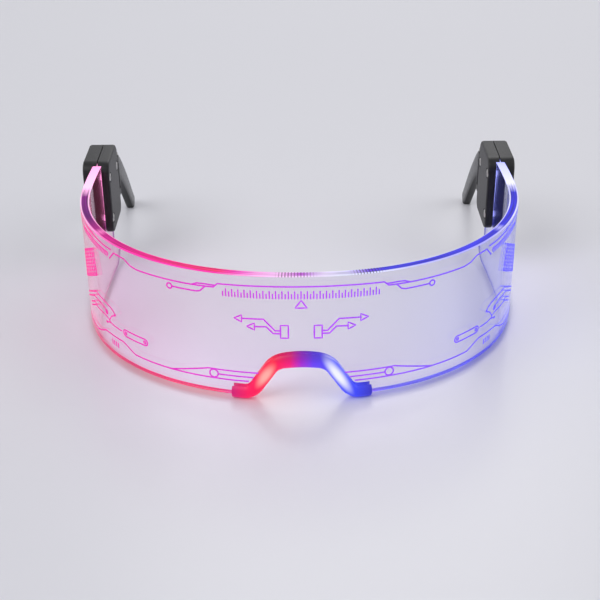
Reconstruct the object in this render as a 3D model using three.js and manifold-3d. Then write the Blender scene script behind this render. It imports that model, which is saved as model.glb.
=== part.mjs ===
// Light-up party glasses: a clear wrap visor whose edges are lit from a pod on each side.
// Millimetres, +Z up. The front faces -Y, depth runs back along +Y from the sheet's front,
// and left and right are as seen from the front. Each side is built as the right one (+X),
// and the left one is its mirror image.

import * as THREE from 'three';
import { mergeVertices } from 'three/addons/utils/BufferGeometryUtils.js';
import Module from 'manifold-3d';

const wasm = await Module();
wasm.setup();

// Fits
const clearance = 0.3;
const overrun = 1;

// Visor sheet
const visorWidth = 150;
const visorHeight = 42.4;
const sheetThickness = 3;
const sheetAboveTable = 1.5;
const frontCurveDepth = 70;
const frontCurvePower = 2.17;
const sideLeanRadius = 310;
const sheetInsertion = 5.2;
const sideTailLength = 7.8;
const sideTailCornerRadius = 6;

// Nose cut-out and the slit tube on its edge
const tubeDiameter = 5.1;
const tubeHalfSpan = 21.8;
const tubeCentreAboveEdge = 1.05;
const noseRise = 12.6;
const noseCrownRadius = 26;
const noseCrownHalfAngle = THREE.MathUtils.degToRad(12);
const noseShoulderRadius = 7.5;
const noseFootRadius = 4.6;
const noseFlankAngle = THREE.MathUtils.degToRad(57);

// Side pod
const podFrontDepth = 87;
const podWall = 1.2;
const podCornerRadius = 4;
const podEdgeRadius = 0.9;

// Power and light
const cellDiameter = 12.5;
const cellThickness = 1.6;
const contactThickness = 0.3;
const boardThickness = 0.8;
const ledLength = 1.6;
const ledWidth = 3.4;
const ledHeight = 3;
const doorMargin = 1.05;
const doorPadThickness = 0.8;

// Push button
const buttonRadius = 2.8;
const buttonFlangeRadius = 3.8;
const buttonProud = 0.7;
const buttonTravel = 0.5;

// Hinge and arm
const knuckleRadius = 2;
const knuckleHeight = 10;
const lugThickness = 2.2;
const armReach = 45;
const armFrontHeight = 13.4;
const armTailHeight = 6.4;
const armTailThickness = 3.4;

// Facets
const frontCurveSteps = 24;
const sideSteps = 6;
const arcSteps = 5;
const tubeSides = 20;
const tubeSteps = 44;
const roundSides = 20;
const screwSides = 12;
const bevelSteps = 2;

// Places that follow from the sizes above
const sheetBottomZ = sheetAboveTable;
const sheetTopZ = sheetBottomZ + visorHeight;
const lampEdgeDepth = podFrontDepth + sheetInsertion;
const sidePanelDepth = lampEdgeDepth + sideTailLength;
const tubeRadius = tubeDiameter / 2;
const tubeCentreZ = sheetBottomZ + tubeCentreAboveEdge;
const cellRadius = cellDiameter / 2;
const doorSide = cellDiameter + 2 * doorMargin;

// Depth of the cells and the pod's rear face
const ledToCell = 0.55;
const doorFrame = 0.3;
const cellDepth = lampEdgeDepth + clearance + ledLength + ledToCell + cellRadius;
const podRearDepth = cellDepth + doorSide / 2 + clearance + doorFrame + podWall;

// Height of the pod, the button and the cells
const buttonHeadroom = 1.2;
const doorwayBelowFlange = 1;
const doorSill = 0.6;
const podTopZ = sheetTopZ + clearance + podWall;
const buttonZ = podTopZ - podWall - buttonHeadroom - buttonFlangeRadius;
const buttonPlace = [cellDepth, buttonZ];
const doorwayTopZ = buttonZ - buttonFlangeRadius - doorwayBelowFlange;
const cellZ = doorwayTopZ - clearance - doorSide / 2;
const podBottomZ = cellZ - doorSide / 2 - clearance - doorSill - podWall;

// Distance of each layer in the pod from the middle plane, inner face to outer face
const sheetMiddleX = sideHalfWidth(lampEdgeDepth) - sheetThickness / 2;
const boardOuterX = sheetMiddleX - ledWidth / 2 - clearance;
const boardInnerX = boardOuterX - boardThickness;
const podInnerX = boardInnerX - clearance - podWall;
const negativeContactX = boardOuterX + clearance;
const innerCellX = negativeContactX + contactThickness + clearance;
const outerCellX = innerCellX + cellThickness + clearance;
const positiveContactX = outerCellX + cellThickness + clearance;
const doorInnerX = positiveContactX + contactThickness + clearance;
const podOuterX = doorInnerX + doorPadThickness + podWall;
const innerWallX = podInnerX + podWall;
const outerWallX = podOuterX - podWall;

// Hinge axis
const hingeX = podInnerX + knuckleRadius;
const hingeDepth = podRearDepth + clearance + knuckleRadius;
const hingeZ = (podTopZ + podBottomZ) / 2;

// Geometry helpers

const alongX = new THREE.Matrix4().makeBasis(
  new THREE.Vector3(0, 1, 0), new THREE.Vector3(0, 0, 1), new THREE.Vector3(1, 0, 0));
const alongY = new THREE.Matrix4().makeBasis(
  new THREE.Vector3(1, 0, 0), new THREE.Vector3(0, 0, 1), new THREE.Vector3(0, -1, 0));

function solidOf(geometry) {
  const bare = geometry.clone();
  bare.deleteAttribute('normal');
  bare.deleteAttribute('uv');
  const merged = mergeVertices(bare);
  const mesh = new wasm.Mesh({
    numProp: 3,
    vertProperties: Float32Array.from(merged.getAttribute('position').array),
    triVerts: Uint32Array.from(merged.getIndex().array),
  });
  return new wasm.Manifold(mesh);
}

function geometryOf(solid) {
  const mesh = solid.getMesh();
  const geometry = new THREE.BufferGeometry();
  geometry.setAttribute('position', new THREE.BufferAttribute(mesh.vertProperties, 3));
  geometry.setIndex(new THREE.BufferAttribute(mesh.triVerts, 1));
  return geometry;
}

function join(base, ...additions) {
  return geometryOf(additions.reduce((sum, piece) => sum.add(solidOf(piece)), solidOf(base)));
}

function cut(base, ...tools) {
  return geometryOf(tools.reduce((rest, tool) => rest.subtract(solidOf(tool)), solidOf(base)));
}

function common(first, second) {
  return geometryOf(solidOf(first).intersect(solidOf(second)));
}

function box(x0, x1, y0, y1, z0, z1) {
  const geometry = new THREE.BoxGeometry(x1 - x0, y1 - y0, z1 - z0);
  return geometry.translate((x0 + x1) / 2, (y0 + y1) / 2, (z0 + z1) / 2);
}

// A shape drawn in (x, y), raised from z0 to z1
function raise(shape, z0, z1) {
  const settings = { depth: z1 - z0, bevelEnabled: false, curveSegments: arcSteps };
  return new THREE.ExtrudeGeometry(shape, settings).translate(0, 0, z0);
}

// A shape drawn in (y, z), run from x0 to x1
function runAlongX(shape, x0, x1) {
  return raise(shape, x0, x1).applyMatrix4(alongX);
}

// A shape drawn in (x, z), run from y0 back to y1
function runAlongY(shape, y0, y1) {
  return raise(shape, -y1, -y0).applyMatrix4(alongY);
}

function cylinderAlongX(x0, x1, [depth, z], radius, sides) {
  const disc = new THREE.Shape();
  disc.absarc(depth, z, radius, 0, 2 * Math.PI);
  const outline = new THREE.Shape(disc.getSpacedPoints(sides).slice(0, sides));
  return runAlongX(outline, x0, x1);
}

function cylinderAlongZ(x, depth, z0, z1, radius, sides) {
  const geometry = new THREE.CylinderGeometry(radius, radius, z1 - z0, sides);
  return geometry.rotateX(Math.PI / 2).translate(x, depth, (z0 + z1) / 2);
}

function roundedRectangle(y0, y1, z0, z1, radius) {
  const shape = new THREE.Shape();
  shape.moveTo(y0 + radius, z0);
  shape.lineTo(y1 - radius, z0);
  shape.absarc(y1 - radius, z0 + radius, radius, -Math.PI / 2, 0);
  shape.lineTo(y1, z1 - radius);
  shape.absarc(y1 - radius, z1 - radius, radius, 0, Math.PI / 2);
  shape.lineTo(y0 + radius, z1);
  shape.absarc(y0 + radius, z1 - radius, radius, Math.PI / 2, Math.PI);
  shape.lineTo(y0, z0 + radius);
  shape.absarc(y0 + radius, z0 + radius, radius, Math.PI, 1.5 * Math.PI);
  return shape;
}

// A closed skin through rings of points, each ring running the same way round
function loft(rings) {
  const count = rings[0].length;
  const points = rings.flat();
  const triangles = [];
  for (let ring = 0; ring + 1 < rings.length; ring += 1) {
    for (let i = 0; i < count; i += 1) {
      const a = ring * count + i;
      const b = ring * count + (i + 1) % count;
      triangles.push(a, b, b + count, a, b + count, a + count);
    }
  }
  const last = (rings.length - 1) * count;
  for (let i = 1; i + 1 < count; i += 1) {
    triangles.push(0, i + 1, i);
    triangles.push(last, last + i, last + i + 1);
  }
  const geometry = new THREE.BufferGeometry().setFromPoints(points);
  geometry.setIndex(triangles);
  return geometry;
}

function mirrored(geometry) {
  const copy = geometry.clone().scale(-1, 1, 1);
  const index = copy.getIndex() ?? new THREE.BufferAttribute(
    Uint32Array.from({ length: copy.getAttribute('position').count }, (_, i) => i), 1);
  const flipped = new Uint32Array(index.count);
  for (let i = 0; i < index.count; i += 3) {
    flipped.set([index.getX(i), index.getX(i + 2), index.getX(i + 1)], i);
  }
  copy.setIndex(new THREE.BufferAttribute(flipped, 1));
  return copy;
}

// Visor sheet

// Half the sheet's outer width at a depth behind the curved front, where the sides lean in
function sideHalfWidth(depth) {
  const behind = depth - frontCurveDepth;
  return visorWidth / 2 - sideLeanRadius + Math.sqrt(sideLeanRadius ** 2 - behind ** 2);
}

// The right half of the outer plan line, from the front centre to the rear edge
function outerPlanHalf(endDepth) {
  const points = [];
  for (let i = 0; i <= frontCurveSteps; i += 1) {
    const angle = (i / frontCurveSteps) * Math.PI / 2;
    const x = (visorWidth / 2) * Math.sin(angle) ** (2 / frontCurvePower);
    const forward = Math.max(Math.cos(angle), 0) ** (2 / frontCurvePower);
    points.push(new THREE.Vector2(x, frontCurveDepth * (1 - forward)));
  }
  for (let i = 1; i <= sideSteps; i += 1) {
    const depth = frontCurveDepth + (endDepth - frontCurveDepth) * i / sideSteps;
    points.push(new THREE.Vector2(sideHalfWidth(depth), depth));
  }
  return points;
}

// The whole plan line, left rear to right rear, moved inwards by an offset
function planLine(offset, endDepth) {
  const half = outerPlanHalf(endDepth);
  const left = half.slice(1).reverse().map((point) => new THREE.Vector2(-point.x, point.y));
  const line = [...left, ...half];
  return line.map((point, i) => {
    const before = line[Math.max(i - 1, 0)];
    const after = line[Math.min(i + 1, line.length - 1)];
    const along = new THREE.Vector2().subVectors(after, before).normalize();
    return new THREE.Vector2(point.x - along.y * offset, point.y + along.x * offset);
  });
}

// The nose line in front view, as sizes of its arcs, for an edge moved up by an offset
function noseArcs(offset) {
  const crown = noseCrownRadius + offset;
  const shoulder = noseShoulderRadius + offset;
  const foot = noseFootRadius - offset;
  const crownZ = tubeCentreZ + noseRise - noseCrownRadius;
  const shoulderX = (noseCrownRadius - noseShoulderRadius) * Math.sin(noseCrownHalfAngle);
  const shoulderZ = crownZ + (noseCrownRadius - noseShoulderRadius) * Math.cos(noseCrownHalfAngle);
  const footZ = tubeCentreZ + noseFootRadius;
  const reach = noseShoulderRadius + noseFootRadius;
  const flank = (shoulderZ - footZ + reach * Math.cos(noseFlankAngle)) / Math.sin(noseFlankAngle);
  const footX = shoulderX + reach * Math.sin(noseFlankAngle) + flank * Math.cos(noseFlankAngle);
  return { crown, shoulder, foot, crownZ, shoulderX, shoulderZ, footX, footZ };
}

// Adds the nose line to a path, left foot to right foot
function addNoseLine(path, offset) {
  const { crown, shoulder, foot, crownZ, shoulderX, shoulderZ, footX, footZ } = noseArcs(offset);
  const up = Math.PI / 2;
  const down = -Math.PI / 2;
  path.lineTo(-footX, footZ - foot);
  path.absarc(-footX, footZ, foot, down, down + noseFlankAngle);
  path.absarc(-shoulderX, shoulderZ, shoulder, up + noseFlankAngle, up + noseCrownHalfAngle, true);
  path.absarc(0, crownZ, crown, up + noseCrownHalfAngle, up - noseCrownHalfAngle, true);
  path.absarc(shoulderX, shoulderZ, shoulder, up - noseCrownHalfAngle, up - noseFlankAngle, true);
  path.absarc(footX, footZ, foot, down - noseFlankAngle, down);
}

function noseCutOut(offset) {
  const { footX } = noseArcs(offset);
  const below = sheetBottomZ - clearance - overrun;
  const shape = new THREE.Shape();
  shape.moveTo(-footX, below);
  addNoseLine(shape, offset);
  shape.lineTo(footX, below);
  return runAlongY(shape, -overrun, frontCurveDepth / 2);
}

// What lies behind the sheet's upper rear edge and outside its round lower rear corner
function rearCutOff(gap) {
  const shelfZ = podBottomZ - clearance + gap;
  const lampEdge = lampEdgeDepth + gap;
  const tail = sidePanelDepth + gap;
  const bottom = sheetBottomZ - gap;
  const behind = tail + overrun;
  const radius = sideTailCornerRadius + gap;
  const shape = new THREE.Shape();
  shape.moveTo(tail - radius, bottom - overrun);
  shape.lineTo(behind, bottom - overrun);
  shape.lineTo(behind, sheetTopZ + gap + overrun);
  shape.lineTo(lampEdge, sheetTopZ + gap + overrun);
  shape.lineTo(lampEdge, shelfZ);
  shape.lineTo(tail, shelfZ);
  shape.lineTo(tail, bottom + radius);
  shape.absarc(tail - radius, bottom + radius, radius, 0, -Math.PI / 2, true);
  return runAlongX(shape, -visorWidth, visorWidth);
}

// The sheet's form, swollen by a gap on every side
function visorForm(gap) {
  const outer = planLine(-gap, sidePanelDepth + gap);
  const inner = planLine(sheetThickness + gap, sidePanelDepth + gap);
  const wall = raise(new THREE.Shape([...outer, ...inner.reverse()]), sheetBottomZ - gap, sheetTopZ + gap);
  return cut(wall, noseCutOut(-tubeCentreAboveEdge - gap), rearCutOff(gap));
}

// Screws: the head's underside is at zero and the shank runs down from it

const podScrew = { shank: 0.8, head: 1.7, headHeight: 1 };
const doorScrew = { shank: 0.7, head: 1.5, headHeight: 0.9 };
const hingePin = { shank: 0.8, head: 1.8, headHeight: 1.1 };
const screwSlotWidth = 0.4;
const screwSlotDepthShare = 0.5;
const screwHeadChamferShare = 0.3;

function screw(size, length) {
  const chamfer = size.headHeight * screwHeadChamferShare;
  const profile = [
    new THREE.Vector2(0, -length),
    new THREE.Vector2(size.shank, size.shank - length),
    new THREE.Vector2(size.shank, 0),
    new THREE.Vector2(size.head, 0),
    new THREE.Vector2(size.head, size.headHeight - chamfer),
    new THREE.Vector2(size.head - chamfer, size.headHeight),
    new THREE.Vector2(0, size.headHeight),
  ];
  const body = new THREE.LatheGeometry(profile, screwSides).rotateX(Math.PI / 2);
  const reach = size.head / 2;
  const half = screwSlotWidth / 2;
  const floor = size.headHeight * (1 - screwSlotDepthShare);
  const top = size.headHeight + overrun;
  const slot = box(-reach, reach, -half, half, floor, top);
  const cross = box(-half, half, -reach, reach, floor, top);
  return cut(body, join(slot, cross));
}

function screwAlongX(size, length, headX, [depth, z], headFacesOut) {
  const turn = headFacesOut ? Math.PI / 2 : -Math.PI / 2;
  return screw(size, length).rotateY(turn).translate(headX, depth, z);
}

// Places of the pod screws, as depth and height
const bossRadius = 2.2;
const frontScrewInset = 2.6;
const frontScrewEndRoom = 6;
const rearScrewRise = 2.5;
const rearScrewInset = 1.9;
const podScrews = {
  upper: [podFrontDepth + frontScrewInset, podTopZ - frontScrewEndRoom],
  lower: [podFrontDepth + frontScrewInset, podBottomZ + frontScrewEndRoom],
  rear: [podRearDepth - podWall - rearScrewInset, doorwayTopZ + rearScrewRise],
};
const screwRecess = podScrew.headHeight + clearance;
const screwHeadX = podInnerX + podScrew.headHeight;
const screwTipX = podOuterX - podWall;

function visorSheet() {
  const holeRadius = podScrew.shank + clearance;
  const holes = [podScrews.upper, podScrews.lower].map((place) => (
    cylinderAlongX(-visorWidth, visorWidth, place, holeRadius, screwSides)));
  return cut(visorForm(0), ...holes);
}

// Nose tube: its slit takes the edge of the cut-out

function noseTube() {
  const line = new THREE.Path();
  line.moveTo(-tubeHalfSpan, tubeCentreZ);
  addNoseLine(line, 0);
  line.lineTo(tubeHalfSpan, tubeCentreZ);
  const middle = planLine(sheetThickness / 2, sidePanelDepth);
  const points = line.getSpacedPoints(tubeSteps).map((point) => {
    const next = middle.findIndex((place) => place.x > point.x);
    const before = middle[next - 1];
    const after = middle[next];
    const depth = THREE.MathUtils.mapLinear(point.x, before.x, after.x, before.y, after.y);
    return new THREE.Vector3(point.x, depth, point.y);
  });
  const section = new THREE.Shape();
  section.absarc(0, 0, tubeRadius, 0, 2 * Math.PI);
  const outline = new THREE.Shape(section.getSpacedPoints(tubeSides).slice(0, tubeSides));
  const tube = new THREE.ExtrudeGeometry(outline, {
    steps: tubeSteps,
    extrudePath: new THREE.CatmullRomCurve3(points, false, 'centripetal'),
  });
  return cut(tube, visorForm(clearance));
}

// Pod shells

const shellGap = 0.3;
const bossBite = 0.4;

function podForm() {
  const y0 = podFrontDepth + podEdgeRadius;
  const y1 = podRearDepth - podEdgeRadius;
  const z0 = podBottomZ + podEdgeRadius;
  const z1 = podTopZ - podEdgeRadius;
  const shape = roundedRectangle(y0, y1, z0, z1, podCornerRadius - podEdgeRadius);
  const geometry = new THREE.ExtrudeGeometry(shape, {
    depth: podOuterX - podInnerX - 2 * podEdgeRadius,
    bevelThickness: podEdgeRadius,
    bevelSize: podEdgeRadius,
    bevelSegments: bevelSteps,
    curveSegments: arcSteps,
  });
  return geometry.translate(0, 0, podInnerX + podEdgeRadius).applyMatrix4(alongX);
}

function podCavity(x0, x1) {
  const shape = roundedRectangle(
    podFrontDepth + podWall, podRearDepth - podWall,
    podBottomZ + podWall, podTopZ - podWall, podCornerRadius - podWall);
  return runAlongX(shape, x0, x1);
}

// The pod's form between two planes
function podSlice(x0, x1) {
  const slice = box(
    x0, x1, podFrontDepth - overrun, podRearDepth + overrun, podBottomZ - overrun, podTopZ + overrun);
  return common(podForm(), slice);
}

// The battery door screw stands beside the cells, in the lower rear corner
const doorScrewOffset = 5.8;
const doorScrewPlace = [cellDepth + doorScrewOffset, cellZ - doorScrewOffset];
const doorBossRadius = 1.6;
const doorScrewRecess = doorScrew.headHeight + clearance;
const doorScrewHeadX = podOuterX - doorScrew.headHeight;
const doorScrewFloor = 1.2;
const doorScrewTipX = innerWallX + doorScrewFloor;
const doorCornerRadius = 1.5;

function innerShell() {
  const edgeX = sheetMiddleX - shellGap / 2;
  const hollow = cut(podSlice(podInnerX - overrun, edgeX), podCavity(innerWallX, podOuterX));
  const bossFootX = innerWallX - bossBite;
  const outsideX = podInnerX - overrun;
  const bosses = Object.values(podScrews).map((place) => (
    cylinderAlongX(bossFootX, edgeX, place, bossRadius, roundSides)));
  const doorBoss = cylinderAlongX(
    bossFootX, doorInnerX - clearance, doorScrewPlace, doorBossRadius, roundSides);
  const shankHoles = Object.values(podScrews).map((place) => (
    cylinderAlongX(outsideX, podOuterX, place, podScrew.shank + clearance, screwSides)));
  const headRecesses = Object.values(podScrews).map((place) => (
    cylinderAlongX(outsideX, podInnerX + screwRecess, place, podScrew.head + clearance, roundSides)));
  const doorScrewHole = cylinderAlongX(
    doorScrewTipX - clearance, podOuterX, doorScrewPlace, doorScrew.shank + clearance, screwSides);
  const solid = join(hollow, ...bosses, doorBoss, hingeLug(1), hingeLug(-1));
  return cut(solid, visorForm(clearance), ...shankHoles, ...headRecesses, doorScrewHole, hingeHole());
}

function outerShell() {
  const edgeX = sheetMiddleX + shellGap / 2;
  const hollow = cut(podSlice(edgeX, podOuterX + overrun), podCavity(podInnerX, outerWallX));
  const bosses = Object.values(podScrews).map((place) => (
    cylinderAlongX(edgeX, outerWallX + bossBite, place, bossRadius, roundSides)));
  const shankHoles = Object.values(podScrews).map((place) => (
    cylinderAlongX(podInnerX, screwTipX + clearance, place, podScrew.shank + clearance, screwSides)));
  const doorway = runAlongX(doorOutline(clearance), podInnerX, podOuterX + overrun);
  const buttonHole = cylinderAlongX(
    outerWallX - overrun, podOuterX + overrun, buttonPlace, buttonRadius + clearance, roundSides);
  return cut(join(hollow, ...bosses), visorForm(clearance), ...shankHoles, doorway, buttonHole);
}

// Battery door: a plate flush with the outer shell, hooked at the front and screwed at the rear

const doorTabLength = 1.5;
const doorTabThickness = doorPadThickness - clearance;
const doorTabHalfHeight = 4;

function doorOutline(gap) {
  const reach = doorSide / 2 + gap;
  return roundedRectangle(
    cellDepth - reach, cellDepth + reach, cellZ - reach, cellZ + reach, doorCornerRadius + gap);
}

function batteryDoor() {
  const plate = runAlongX(doorOutline(0), doorInnerX, podOuterX);
  const frontDepth = cellDepth - doorSide / 2;
  const tab = box(
    doorInnerX, doorInnerX + doorTabThickness, frontDepth - doorTabLength, frontDepth + overrun,
    cellZ - doorTabHalfHeight, cellZ + doorTabHalfHeight);
  const recessFloorX = podOuterX - doorScrewRecess;
  const recess = cylinderAlongX(
    recessFloorX, podOuterX + overrun, doorScrewPlace, doorScrew.head + clearance, roundSides);
  const hole = cylinderAlongX(
    doorInnerX - overrun, podOuterX, doorScrewPlace, doorScrew.shank + clearance, screwSides);
  return cut(join(plate, tab), recess, hole);
}

// Coin cell: a can with its smaller negative cap towards the board

const cellCapHeight = 0.3;
const cellCapInset = 1;
const cellEdge = 0.25;

function coinCell(x) {
  const profile = [
    new THREE.Vector2(0, 0),
    new THREE.Vector2(cellRadius - cellCapInset, 0),
    new THREE.Vector2(cellRadius - cellCapInset, cellCapHeight),
    new THREE.Vector2(cellRadius, cellCapHeight),
    new THREE.Vector2(cellRadius, cellThickness - cellEdge),
    new THREE.Vector2(cellRadius - cellEdge, cellThickness),
    new THREE.Vector2(0, cellThickness),
  ];
  const cell = new THREE.LatheGeometry(profile, roundSides).rotateX(Math.PI / 2).rotateY(Math.PI / 2);
  return cell.translate(x, cellDepth, cellZ);
}

// Spring contacts

const contactWidth = 4;
const contactReach = 4.5;
const contactAboveCell = 0.45;

function negativeContact() {
  const y0 = cellDepth - contactWidth / 2;
  const y1 = cellDepth + contactWidth / 2;
  const x1 = negativeContactX + contactThickness;
  return box(negativeContactX, x1, y0, y1, cellZ - contactReach, cellZ + contactReach);
}

function positiveContact() {
  const legZ = cellZ + cellRadius + contactAboveCell;
  const y0 = cellDepth - contactWidth / 2;
  const y1 = cellDepth + contactWidth / 2;
  const x1 = positiveContactX + contactThickness;
  const z1 = legZ + contactThickness;
  const strip = box(positiveContactX, x1, y0, y1, cellZ - contactReach, z1);
  const leg = box(negativeContactX, x1, y0, y1, legZ, z1);
  return join(strip, leg);
}

// Circuit board, driver chip and lamps

const boardSideRoom = 0.6;
const boardFrontDepth = lampEdgeDepth + clearance;
const boardRearDepth = podScrews.rear[0] - bossRadius - clearance;
const chipLength = 3;
const chipHeight = 1.7;
const chipThickness = 1.1;
const chipBehindLed = 1.4;
const ledSpacing = 13;
const ledWindowDepth = 0.3;
const ledWindowMargin = 0.5;

function circuitBoard() {
  return box(
    boardInnerX, boardOuterX, boardFrontDepth, boardRearDepth,
    podBottomZ + podWall + boardSideRoom, podTopZ - podWall - boardSideRoom);
}

function driverChip() {
  const y0 = boardFrontDepth + ledLength + chipBehindLed;
  const z0 = cellZ + cellRadius + contactAboveCell + contactThickness + boardSideRoom;
  return box(negativeContactX, negativeContactX + chipThickness, y0, y0 + chipLength, z0, z0 + chipHeight);
}

// A side-view lamp whose window faces the sheet's rear edge
function lamp(z) {
  const x0 = negativeContactX;
  const y0 = boardFrontDepth;
  const body = box(x0, x0 + ledWidth, y0, y0 + ledLength, z - ledHeight / 2, z + ledHeight / 2);
  const window = box(
    x0 + ledWindowMargin, x0 + ledWidth - ledWindowMargin, y0 - overrun, y0 + ledWindowDepth,
    z - ledHeight / 2 + ledWindowMargin, z + ledHeight / 2 - ledWindowMargin);
  return cut(body, window);
}

// Push switch: the button and the stem travel together into the switch's pocket

const switchSide = 4.5;
const switchHeight = 2.4;
const switchFloor = 1;
const stemRadius = 1;
const stemSpare = 0.2;
const buttonFlangeThickness = 0.8;
const buttonCoreRadius = 1.6;
const buttonCoreLength = 0.4;
const buttonDome = 0.4;
const flangeTop = outerWallX - clearance;
const flangeBottom = flangeTop - buttonFlangeThickness;
const stemBottomX = negativeContactX + switchFloor + buttonTravel + stemSpare;
const stemTopX = flangeBottom - buttonCoreLength - clearance;

function switchBody() {
  const half = switchSide / 2;
  const x0 = negativeContactX;
  const body = box(
    x0, x0 + switchHeight, cellDepth - half, cellDepth + half, buttonZ - half, buttonZ + half);
  const pocket = cylinderAlongX(x0 + switchFloor, podOuterX, buttonPlace, stemRadius + clearance, screwSides);
  return cut(body, pocket);
}

function switchStem() {
  return cylinderAlongX(stemBottomX, stemTopX, buttonPlace, stemRadius, screwSides);
}

function pushButton() {
  const shoulder = podOuterX + buttonProud - buttonDome;
  const profile = [
    new THREE.Vector2(0, stemTopX + clearance),
    new THREE.Vector2(buttonCoreRadius, stemTopX + clearance),
    new THREE.Vector2(buttonCoreRadius, flangeBottom),
    new THREE.Vector2(buttonFlangeRadius, flangeBottom),
    new THREE.Vector2(buttonFlangeRadius, flangeTop),
    new THREE.Vector2(buttonRadius, flangeTop),
    new THREE.Vector2(buttonRadius, shoulder),
    new THREE.Vector2(buttonRadius - buttonDome, podOuterX + buttonProud),
    new THREE.Vector2(0, podOuterX + buttonProud),
  ];
  const turned = new THREE.LatheGeometry(profile, roundSides).rotateX(Math.PI / 2).rotateY(Math.PI / 2);
  return turned.translate(0, cellDepth, buttonZ);
}

// Hinge: two lugs on the inner shell, the arm's knuckle between them, and a screw as the pin

const hingeHoleRadius = hingePin.shank + clearance;
const lugGap = knuckleHeight / 2 + clearance;

function hingeLug(side) {
  const near = hingeZ + side * lugGap;
  const far = near + side * lugThickness;
  const z0 = Math.min(near, far);
  const z1 = Math.max(near, far);
  const edgeX = Math.min(sheetMiddleX - shellGap / 2, hingeX + knuckleRadius);
  const root = box(podInnerX, edgeX, podRearDepth - podWall / 2, hingeDepth, z0, z1);
  const eye = cylinderAlongZ(hingeX, hingeDepth, z0, z1, knuckleRadius, roundSides);
  const bridge = box(hingeX, hingeX + knuckleRadius, podRearDepth + clearance, hingeDepth, z0, z1);
  return join(root, eye, bridge);
}

function hingeHole() {
  return cylinderAlongZ(hingeX, hingeDepth, podBottomZ, podTopZ, hingeHoleRadius, screwSides);
}

function hingeScrew() {
  const headZ = hingeZ + lugGap + lugThickness + clearance;
  const tipZ = hingeZ - lugGap - lugThickness / 2;
  return screw(hingePin, headZ - tipZ).translate(hingeX, hingeDepth, headZ);
}

// Arm: a blade that runs back from the hinge and bends down behind the ear

const armOuterInset = 0.8;
const armSectionSides = 16;
const armSectionPower = 4;
const armRings = 18;
const armTailX = hingeX + armTailThickness / 2 - armOuterInset;

// Along: hinge to tip. Rise: tip height to hinge height. Size: front section to tail section.
const armShares = [
  { along: 0, rise: 1, size: 0 },
  { along: 0.12, rise: 1.01, size: 0.06 },
  { along: 0.25, rise: 1, size: 0.24 },
  { along: 0.38, rise: 0.94, size: 0.46 },
  { along: 0.51, rise: 0.8, size: 0.63 },
  { along: 0.65, rise: 0.58, size: 0.76 },
  { along: 0.79, rise: 0.33, size: 0.87 },
  { along: 0.92, rise: 0.08, size: 0.96 },
  { along: 1, rise: -0.06, size: 1 },
];
const armTipRings = 3;
const armTipEndShare = 0.5;
const armTipBulgeShare = 0.3;

function armBlade() {
  const frontX0 = hingeX + knuckleRadius + clearance;
  const frontX1 = podOuterX - armOuterInset;
  const frontDepth = podRearDepth + clearance;
  const tailZ = armTailHeight / 2;
  const track = new THREE.CatmullRomCurve3(armShares.map((share) => new THREE.Vector3(
    share.size * armReach,
    frontDepth - overrun + share.along * armReach,
    tailZ + share.rise * (hingeZ - tailZ),
  )), false, 'centripetal');
  const rings = [];
  for (let i = 0; i <= armRings + armTipRings; i += 1) {
    const place = track.getPointAt(Math.min(i / armRings, 1));
    const ahead = track.getTangentAt(Math.min(i / armRings, 1));
    const tip = Math.max(i - armRings, 0) / armTipRings;
    const shrink = Math.sqrt(1 - tip ** 2 * (1 - armTipEndShare ** 2));
    const share = THREE.MathUtils.clamp(place.x / armReach, 0, 1);
    const thickness = THREE.MathUtils.lerp(frontX1 - frontX0, armTailThickness, share) * shrink;
    const height = THREE.MathUtils.lerp(armFrontHeight, armTailHeight, share) * shrink;
    const x = THREE.MathUtils.lerp((frontX0 + frontX1) / 2, armTailX, share);
    const run = new THREE.Vector2(ahead.y, ahead.z).normalize();
    const bulge = tip * armTailHeight * armTipBulgeShare;
    const y = place.y + run.x * bulge;
    const z = place.z + run.y * bulge;
    rings.push(armRing(x, y, z, run, thickness / 2, height / 2));
  }
  return loft(rings);
}

// A sine or cosine made fuller, so that a round section becomes a rounded rectangle
function bulged(value) {
  return Math.sign(value) * Math.abs(value) ** (2 / armSectionPower);
}

function armRing(x, y, z, run, halfThickness, halfHeight) {
  const ring = [];
  for (let i = 0; i < armSectionSides; i += 1) {
    const angle = ((i + 0.5) / armSectionSides) * 2 * Math.PI;
    const across = bulged(Math.sin(angle)) * halfThickness;
    const up = bulged(Math.cos(angle)) * halfHeight;
    ring.push(new THREE.Vector3(x + across, y - run.y * up, z + run.x * up));
  }
  return ring;
}

function arm() {
  const z0 = hingeZ - knuckleHeight / 2;
  const z1 = hingeZ + knuckleHeight / 2;
  const knuckle = cylinderAlongZ(hingeX, hingeDepth, z0, z1, knuckleRadius, roundSides);
  const webX = hingeX + knuckleRadius + clearance + overrun;
  const web = box(hingeX, webX, hingeDepth - knuckleRadius, hingeDepth + knuckleRadius, z0, z1);
  const behindPod = box(0, visorWidth, podFrontDepth, podRearDepth + clearance, 0, 2 * podTopZ);
  const belowTable = box(0, visorWidth, hingeDepth, hingeDepth + 2 * armReach, -armFrontHeight, 0);
  return cut(join(armBlade(), knuckle, web), hingeHole(), behindPod, belowTable);
}

// Materials

function material(color, roughness, metalness) {
  return new THREE.MeshStandardMaterial({ color, roughness, metalness });
}

const clearAcrylic = material('#d9c8ee', 0.05, 0);
const frostedSilicone = material('#d98bd0', 0.5, 0);
const blackPlastic = material('#0d0d10', 0.25, 0);
const buttonPlastic = material('#1c1c20', 0.5, 0);
const steel = material('#a9abb0', 0.3, 1);
const contactSteel = material('#c7c3b4', 0.25, 1);
const cellSteel = material('#c4c6ca', 0.2, 1);
const boardLaminate = material('#14532d', 0.55, 0);
const chipEpoxy = material('#17171a', 0.5, 0);
const lampResin = material('#f3efe4', 0.3, 0);
const switchPlastic = material('#3a3a3e', 0.6, 0);

// Assembly

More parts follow.
